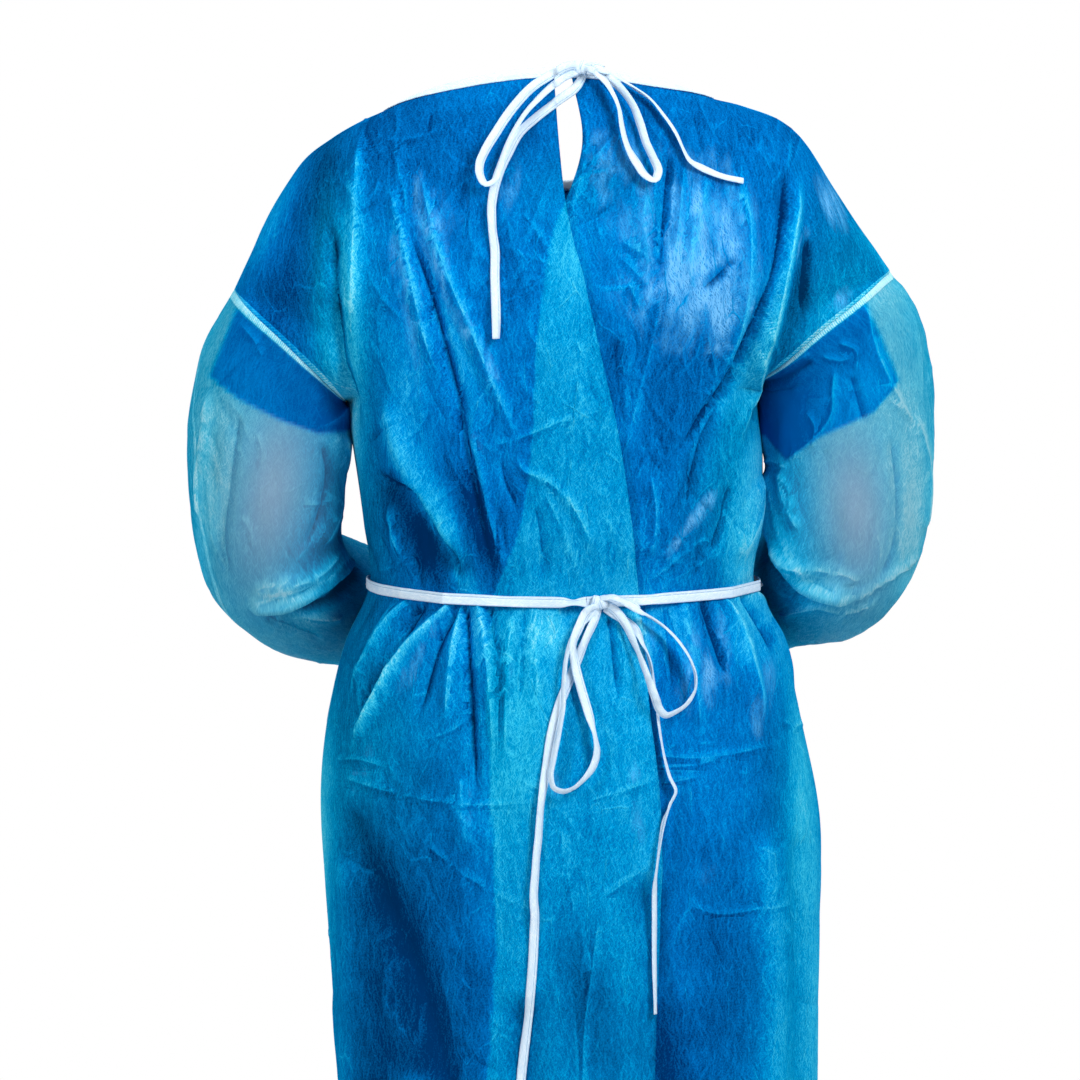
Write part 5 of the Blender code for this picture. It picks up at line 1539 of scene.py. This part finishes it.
class Nodes:
    """A finish's node tree, with short calls for the nodes that the finishes use."""

    def __init__(self, name):
        self.material = bpy.data.materials.new(name)
        self.material.use_nodes = True
        self.tree = self.material.node_tree
        self.shader = self.tree.nodes["Principled BSDF"]

    def feed(self, socket, value):
        if isinstance(value, Value):
            self.tree.links.new(value.socket, socket)
        else:
            socket.default_value = value

    def node(self, kind, output, fed=None, **settings):
        """One output of a new node, with these values fed to its inputs."""
        node = self.tree.nodes.new("ShaderNode" + kind)
        for key, value in settings.items():
            setattr(node, key, value)
        for socket, value in (fed or {}).items():
            self.feed(node.inputs[socket], value)
        return Value(self, node.outputs[output])

    def lay(self):
        return self.node("UVMap", 0, uv_map="lay")

    def mark(self, name):
        return self.node("Attribute", "Fac", attribute_name=name)

    def part(self, vector, axis):
        return self.node("SeparateXYZ", axis, {0: vector})

    def mapped(self, vector, turn, scale):
        return self.node("Mapping", 0, {"Vector": vector, "Rotation": (0, 0, turn), "Scale": (*scale, 1)})

    def noise(self, vector, scale, detail=2.0, roughness=0.5, output="Fac"):
        fed = {"Vector": vector, "Scale": scale, "Detail": detail, "Roughness": roughness}
        return self.node("TexNoise", output, fed, noise_dimensions="2D")

    def swayed(self, vector, lay, scale, detail, reach):
        """Places moved about by smooth noise."""
        fed = {0: self.noise(lay, scale, detail, output="Color"), 1: (reach, reach, 0), 2: vector}
        return self.node("VectorMath", 0, fed, operation="MULTIPLY_ADD")

    def ridges(self, vector):
        fed = {"Vector": vector, "Scale": 17, "Detail": 2.5, "Roughness": 0.5, "Distortion": 0.35}
        return self.node("TexNoise", "Fac", fed, noise_dimensions="2D", noise_type="RIDGED_MULTIFRACTAL")

    def cells(self, vector, scale):
        """How far each place is from the edges of irregular cells."""
        fed = {"Vector": vector, "Scale": scale}
        return self.node("TexVoronoi", "Distance", fed, voronoi_dimensions="2D", feature="DISTANCE_TO_EDGE")

    def fibres(self, lay, length, width, turns, low, high):
        """Fine streaks of fibre that lie in several directions and wander a little."""
        lay = self.swayed(lay, lay, 60, 1, 0.006)
        total = None
        for i, turn in enumerate(turns):
            fed = {"Vector": lay, "Location": (0.37 * i, 0.21 * i, 0), "Rotation": (0, 0, math.radians(turn))}
            fed["Scale"] = (width, length, 1)
            streak = self.noise(self.node("Mapping", 0, fed, vector_type="TEXTURE"), 1, 1).between(low, high)
            total = streak if total is None else total.larger(streak)
        return total

    def ramp(self, value, stops):
        """The colour at this value in a table of values and colours."""
        colour = self.node("ValToRGB", 0, {0: value})
        band = colour.socket.node.color_ramp
        while len(band.elements) < len(stops):
            band.elements.new(0.5)
        for element, (place, tint) in zip(band.elements, stops, strict=True):
            element.position = place
            element.color = linear(*tint)
        return colour

    def mix(self, share, first, second):
        return self.node("Mix", 2, {0: share, 6: first, 7: second}, data_type="RGBA")

    def bump(self, height, strength):
        return self.node("Bump", 0, {"Strength": strength, "Distance": 1.0, "Height": height})


FIBRE_TURNS = (6, 34, -22, -50)
BRUSH_TURNS = (-17, 3, 24)
SHINE_TURNS = (-9, 12, 38)
TAPE_TURNS = (3, 22, -18, 50)
RIB_PITCH = 0.0017  # of the embossed seam
STITCH_PITCH = 0.0026
# Colours of the painted highlights, a pale blue sheen and paler glints where it is brightest, and how much of each
# is laid on.
HIGHLIGHT_TINT = (84, 182, 240)
HIGHLIGHT_SHARE = 0.80
GLINT_TINT = (160, 204, 244)
GLINT_SHARE = 0.26
ARM_GREY = (130, 148, 170)


def cover_of(n, cover, streaks, seam):
    """How solid one face of thin cloth is."""
    solid = streaks * cover["fibre"] + cover["plain"] + seam * cover["seam"]
    for mark in ("deep", "grey", "edge", "bent", "tone"):
        solid += n.mark(mark) * cover[mark]
    return solid.clip(0.12, 1.0)


def cloth_finish(name, stops, tone, cover, ribs):
    """Spunbond nonwoven: fine fibres over broad brushed bands, thin creases from packing, and crisp wrinkles,
    lighter where it is doubled. Folds are lighter where they stand off and darker in their troughs, partly as the
    cloth's own colour and partly as painted light and shade. Along fold lines a light line, a lit side and a
    shaded side are painted, and so are pale blue highlights. tone gives each mark's weight. cover, if any, says
    how solid the cloth is."""
    n = Nodes(name)
    lay = n.lay()
    streaks = n.fibres(lay, 0.008, 0.0006, FIBRE_TURNS, 0.54, 0.72)
    brush = n.fibres(lay, 0.030, 0.0021, BRUSH_TURNS, 0.42, 0.74)
    shine = n.fibres(lay, 0.010, 0.0008, SHINE_TURNS, 0.48, 0.62)
    speckle = n.noise(lay, 620, 1).between(0.34, 0.62)
    upright = n.mapped(lay, 0.12, (1.9, 0.7))
    wrinkle = n.ridges(upright).between(0.55, 1.9)
    crack = 1.0 - n.cells(n.swayed(upright, lay, 26, 2, 0.016), 24).between(0.004, 0.034)
    crack *= n.noise(lay, 31, 1).between(0.47, 0.65)
    seam = 1.0 - n.mark("off_seam").between(SEAM_STRIP - 0.0005, SEAM_STRIP + 0.0003)
    rib = (n.part(lay, ribs) * (2 * math.pi / RIB_PITCH)).sine()

    # Painted light and shade along the folds' lines: a light line on each crest, the side towards the key light
    # lighter, and the other side darker.
    gap, sharp = n.mark("gap"), n.mark("sharp")
    lit_and_shaded_side = gap.bell(0.0050) * (gap.between(-0.0006, 0.0006) - 0.5)
    line = (gap.bell(0.0009) * 0.45 + lit_and_shaded_side * 1.6) * sharp
    fold = gap.bell(0.0050, 0.6) * abs(sharp)

    # Painted highlights: pale blue sheets of sheen where the highlight patches are, cut by wrinkles and fold lines
    # and broken up by fine fibres.
    highlight_zone = n.mark("painted_highlight")
    spread = n.noise(n.mapped(lay, -0.10, (2.2, 0.75)), 30, 3, 0.6) * 0.9 - 0.45
    spread += highlight_zone + n.mark("stand") * 0.22
    cut = wrinkle * 0.20 + fold * 0.5 + crack * 0.35
    spread = (spread - cut) * highlight_zone.between(0.04, 0.30)
    painted_highlight = spread.between(0.10, 0.85) * (shine.larger(speckle * 0.5) * 0.85 + 0.15)

    value = wrinkle * tone["wrinkle"] + tone["plain"]
    varied = {"cloud": n.noise(lay, 30), "patch": n.noise(lay, 9), "brush": brush, "speckle": speckle}
    for key, source in varied.items():
        value += (source - 0.5) * tone[key]
    # Painted light on fold lines and on the crests of folds.
    value += crack * tone["crack"] + line * tone["line"] + n.mark("stand").between(0.45, 1.0) * tone["crest"]
    # The stand mark paints folds lighter where they stand out and darker in their troughs. The tone mark adds
    # painted light and shade to the cloth's own tone.
    for mark in ("stand", "doubled", "deep", "edge", "bent", "tone"):
        if mark in tone:
            value += n.mark(mark) * tone[mark]
    value += streaks * (value.between(0.06, 0.42) * (tone["fibre"] * 0.65) + tone["fibre"] * 0.35)
    value = value.clip(0.0, 0.9) + seam * (rib * 0.10 + tone["seam"])

    clear = (n.mark("clear") + n.mark("doubled") * 0.6).clip(0.0, 1.0)
    colour = n.mix(clear, *(n.ramp(value, table) for table in stops))
    if cover:
        n.feed(n.shader.inputs["Alpha"], cover_of(n, cover, streaks, seam))
        colour = n.mix(n.mark("grey") * 0.80, colour, linear(*ARM_GREY))
    # Paint the highlights into the colour: the sheen, then paler glints where it is brightest.
    colour = n.mix((painted_highlight * HIGHLIGHT_SHARE).clip(0.0, 1.0), colour, linear(*HIGHLIGHT_TINT))
    colour = n.mix(painted_highlight.between(0.35, 1.0) * GLINT_SHARE, colour, linear(*GLINT_TINT))
    n.feed(n.shader.inputs["Base Color"], colour)
    n.feed(n.shader.inputs["Roughness"], streaks.larger(painted_highlight) * -0.16 + 0.46)
    n.shader.inputs["Specular IOR Level"].default_value = 0.0

    height = streaks * 0.00016 + n.noise(lay, 230, 2, 0.55) * tone["crimp"] + wrinkle * 0.0010
    height += crack * (tone["crack"] * 0.006) + line * 0.0002 + seam * (rib * 0.00008 + 0.0006)
    n.feed(n.shader.inputs["Normal"], n.bump(height, 0.8))
    return n.material


def tape_finish():
    """White nonwoven tape, folded in and stitched a quarter of the way across."""
    n = Nodes("white_tape")
    lay = n.lay()
    across = n.part(lay, "X")
    streaks = n.fibres(n.mapped(lay, 0.0, (TAPE_WIDTH, 1)), 0.008, 0.0007, TAPE_TURNS, 0.55, 0.8)
    stitch = 1.0 - abs(across - 0.238).between(0.01, 0.045)
    thread = stitch * (n.part(lay, "Y") * (2 * math.pi / STITCH_PITCH)).sine().between(-0.4, 0.4)
    # Painted shade along the tape's two edges, where they curl away.
    painted_edge_shade = abs(across - 0.5).between(0.34, 0.5)
    value = streaks * 0.30 + 0.55 - stitch * 0.5 - painted_edge_shade * 0.22
    stops = ((0.0, (112, 156, 196)), (0.45, (186, 214, 236)), (1.0, (236, 244, 250)))
    n.feed(n.shader.inputs["Base Color"], n.ramp(value, stops))
    n.shader.inputs["Roughness"].default_value = 0.55
    n.shader.inputs["Specular IOR Level"].default_value = 0.4
    n.shader.inputs["Sheen Weight"].default_value = 0.1
    n.feed(n.shader.inputs["Normal"], n.bump(streaks * 0.00010 + thread * 0.00012, 0.7))
    return n.material


# Colours from the darkest tone to the lightest: where the cloth looks blue, and where it looks clear.
BODY_STOPS = tuple(
    tuple(zip((0.00, 0.30, 0.55, 0.80, 1.00), tints, strict=True))
    for tints in (
        ((0, 48, 104), (0, 108, 186), (0, 148, 216), (64, 190, 232), (160, 228, 242)),
        ((0, 50, 88), (0, 108, 160), (0, 150, 200), (56, 192, 224), (160, 228, 238)),
    )
)
SLEEVE_STOPS = tuple(
    tuple(zip((0.00, 0.25, 0.50, 0.78, 1.00), tints, strict=True))
    for tints in (
        ((0, 80, 152), (0, 118, 194), (0, 156, 214), (90, 196, 228), (180, 230, 242)),
        ((0, 76, 112), (0, 118, 166), (0, 160, 206), (90, 198, 226), (180, 230, 242)),
    )
)
# Weights of the marks in the cloth's lightness. line, crest and stand paint light and shade onto the folds.
BODY_TONE = dict(
    plain=0.190, fibre=0.20, cloud=0.12, patch=0.16, brush=0.10, wrinkle=0.15, crack=0.10, line=0.20,
    speckle=0.08, stand=0.17, crest=0.06, seam=0.36, doubled=0.19, tone=1.0, crimp=0.0002,
)
SLEEVE_TONE = dict(
    plain=0.50, fibre=0.16, cloud=0.12, patch=0.10, brush=0.08, wrinkle=0.12, crack=0.04, line=0.20,
    speckle=0.05, stand=0.16, crest=0.06, seam=0.30, deep=-0.45, edge=-0.06, bent=-0.03, tone=0.8, crimp=0.0001,
)
SLEEVE_COVER = dict(plain=0.57, fibre=0.06, deep=0.48, grey=0.34, seam=0.30, edge=0.24, bent=0.48, tone=-0.35)


# ---------------------------------------------------------------- light and floor


LIGHTS = (  # name, place, aim, width, height, watts
    ("key", (1.45, -2.1, 1.25), (0.02, 0.0, -0.22), 0.8, 1.4, 78),
    ("fill", (-1.9, -2.0, 0.6), (-0.05, 0.0, -0.35), 0.6, 1.6, 34),
    ("top", (-0.2, -0.3, 2.0), (0.0, 0.0, -0.20), 0.9, 0.7, 20),
)
FLOOR_Z = -1.42  # where the wearer's feet would stand
DIM = 0.14  # the room's light on the side of the open back, against 1 behind the front


def add_lights():
    for name, place, aim, width, height, watts in LIGHTS:
        data = bpy.data.lights.new(name, "AREA")
        data.shape = "RECTANGLE"
        data.size, data.size_y = width, height
        data.energy = watts
        lamp = bpy.data.objects.new(name, data)
        lamp.location = place
        lamp.rotation_euler = (Vector(aim) - Vector(place)).to_track_quat("-Z", "Y").to_euler()
        bpy.context.scene.collection.objects.link(lamp)


def add_room():
    """A white room that is bright behind the gown's front and dimmer towards its back."""
    world = bpy.data.worlds.new("studio")
    world.use_nodes = True
    tree = world.node_tree
    split = tree.nodes.new("ShaderNodeSeparateXYZ")
    tree.links.new(tree.nodes.new("ShaderNodeTexCoord").outputs["Generated"], split.inputs[0])
    level = tree.nodes.new("ShaderNodeMapRange")
    level.interpolation_type = "SMOOTHSTEP"
    for socket, value in (("From Min", -0.5), ("From Max", 0.8), ("To Min", DIM), ("To Max", 1.0)):
        level.inputs[socket].default_value = value
    tree.links.new(split.outputs["Y"], level.inputs["Value"])
    tree.links.new(level.outputs["Result"], tree.nodes["Background"].inputs["Strength"])
    tree.nodes["Background"].inputs["Color"].default_value = (1, 1, 1, 1)
    bpy.context.scene.world = world
    bpy.context.scene.view_settings.view_transform = "Standard"


def add_floor():
    bpy.ops.mesh.primitive_grid_add(x_subdivisions=2, y_subdivisions=2, size=5, location=(0, 0, FLOOR_Z))
    floor = bpy.context.object
    floor.name = "floor"
    n = Nodes("pale_floor")
    n.shader.inputs["Base Color"].default_value = (0.82, 0.83, 0.84, 1)
    n.shader.inputs["Roughness"].default_value = 0.9
    floor.data.materials.append(n.material)


# ---------------------------------------------------------------- the gown


def add_cord(name, tree, knots, finish):
    """One loop or tail of a bow, from its knot."""
    knot_name = name.split("_")[0] + "_knot"
    depth = knots[knot_name]
    obj, path, length = tie(name, tree, depth, finish)
    "object" if "loop" in name else "bare"


def make_gown():
    body = cloth_finish("blue_nonwoven_body", BODY_STOPS, BODY_TONE, None, "Y")
    arm = cloth_finish("blue_nonwoven_sleeve", SLEEVE_STOPS, SLEEVE_TONE, SLEEVE_COVER, "X")
    tape = tape_finish()
    grids = body_panels(body)
    sheets = {name: grids[name][0] for name in ("back_left", "back_right", "front")}
    sheets["left_sleeve"] = sleeve("left", LEFT_SLEEVE, grids, arm)
    sheets["right_sleeve"] = sleeve("right", RIGHT_SLEEVE, grids, arm)
    neck_rings = binding(grids, tape)
    around = {name: grids[name][1] for name in ("back_left", "back_right", "front")}
    belt_rings = belt(surface_tree(around), tape)
    behind = {name: around[name] for name in ("back_left", "back_right")}
    behind["neck"] = ring_surface(neck_rings)
    under_knots = surface_tree(behind)
    knots = {name: knot_depth(name, under_knots) for name in KNOTS}
    for name, depth in knots.items():
        knot(name, depth, tape)
    behind["belt"] = ring_surface(belt_rings)
    under_ties = surface_tree(behind)
    for name in ROUTES:
        add_cord(name, under_ties, knots, tape)


add_camera()
make_gown()
add_lights()
add_room()
add_floor()
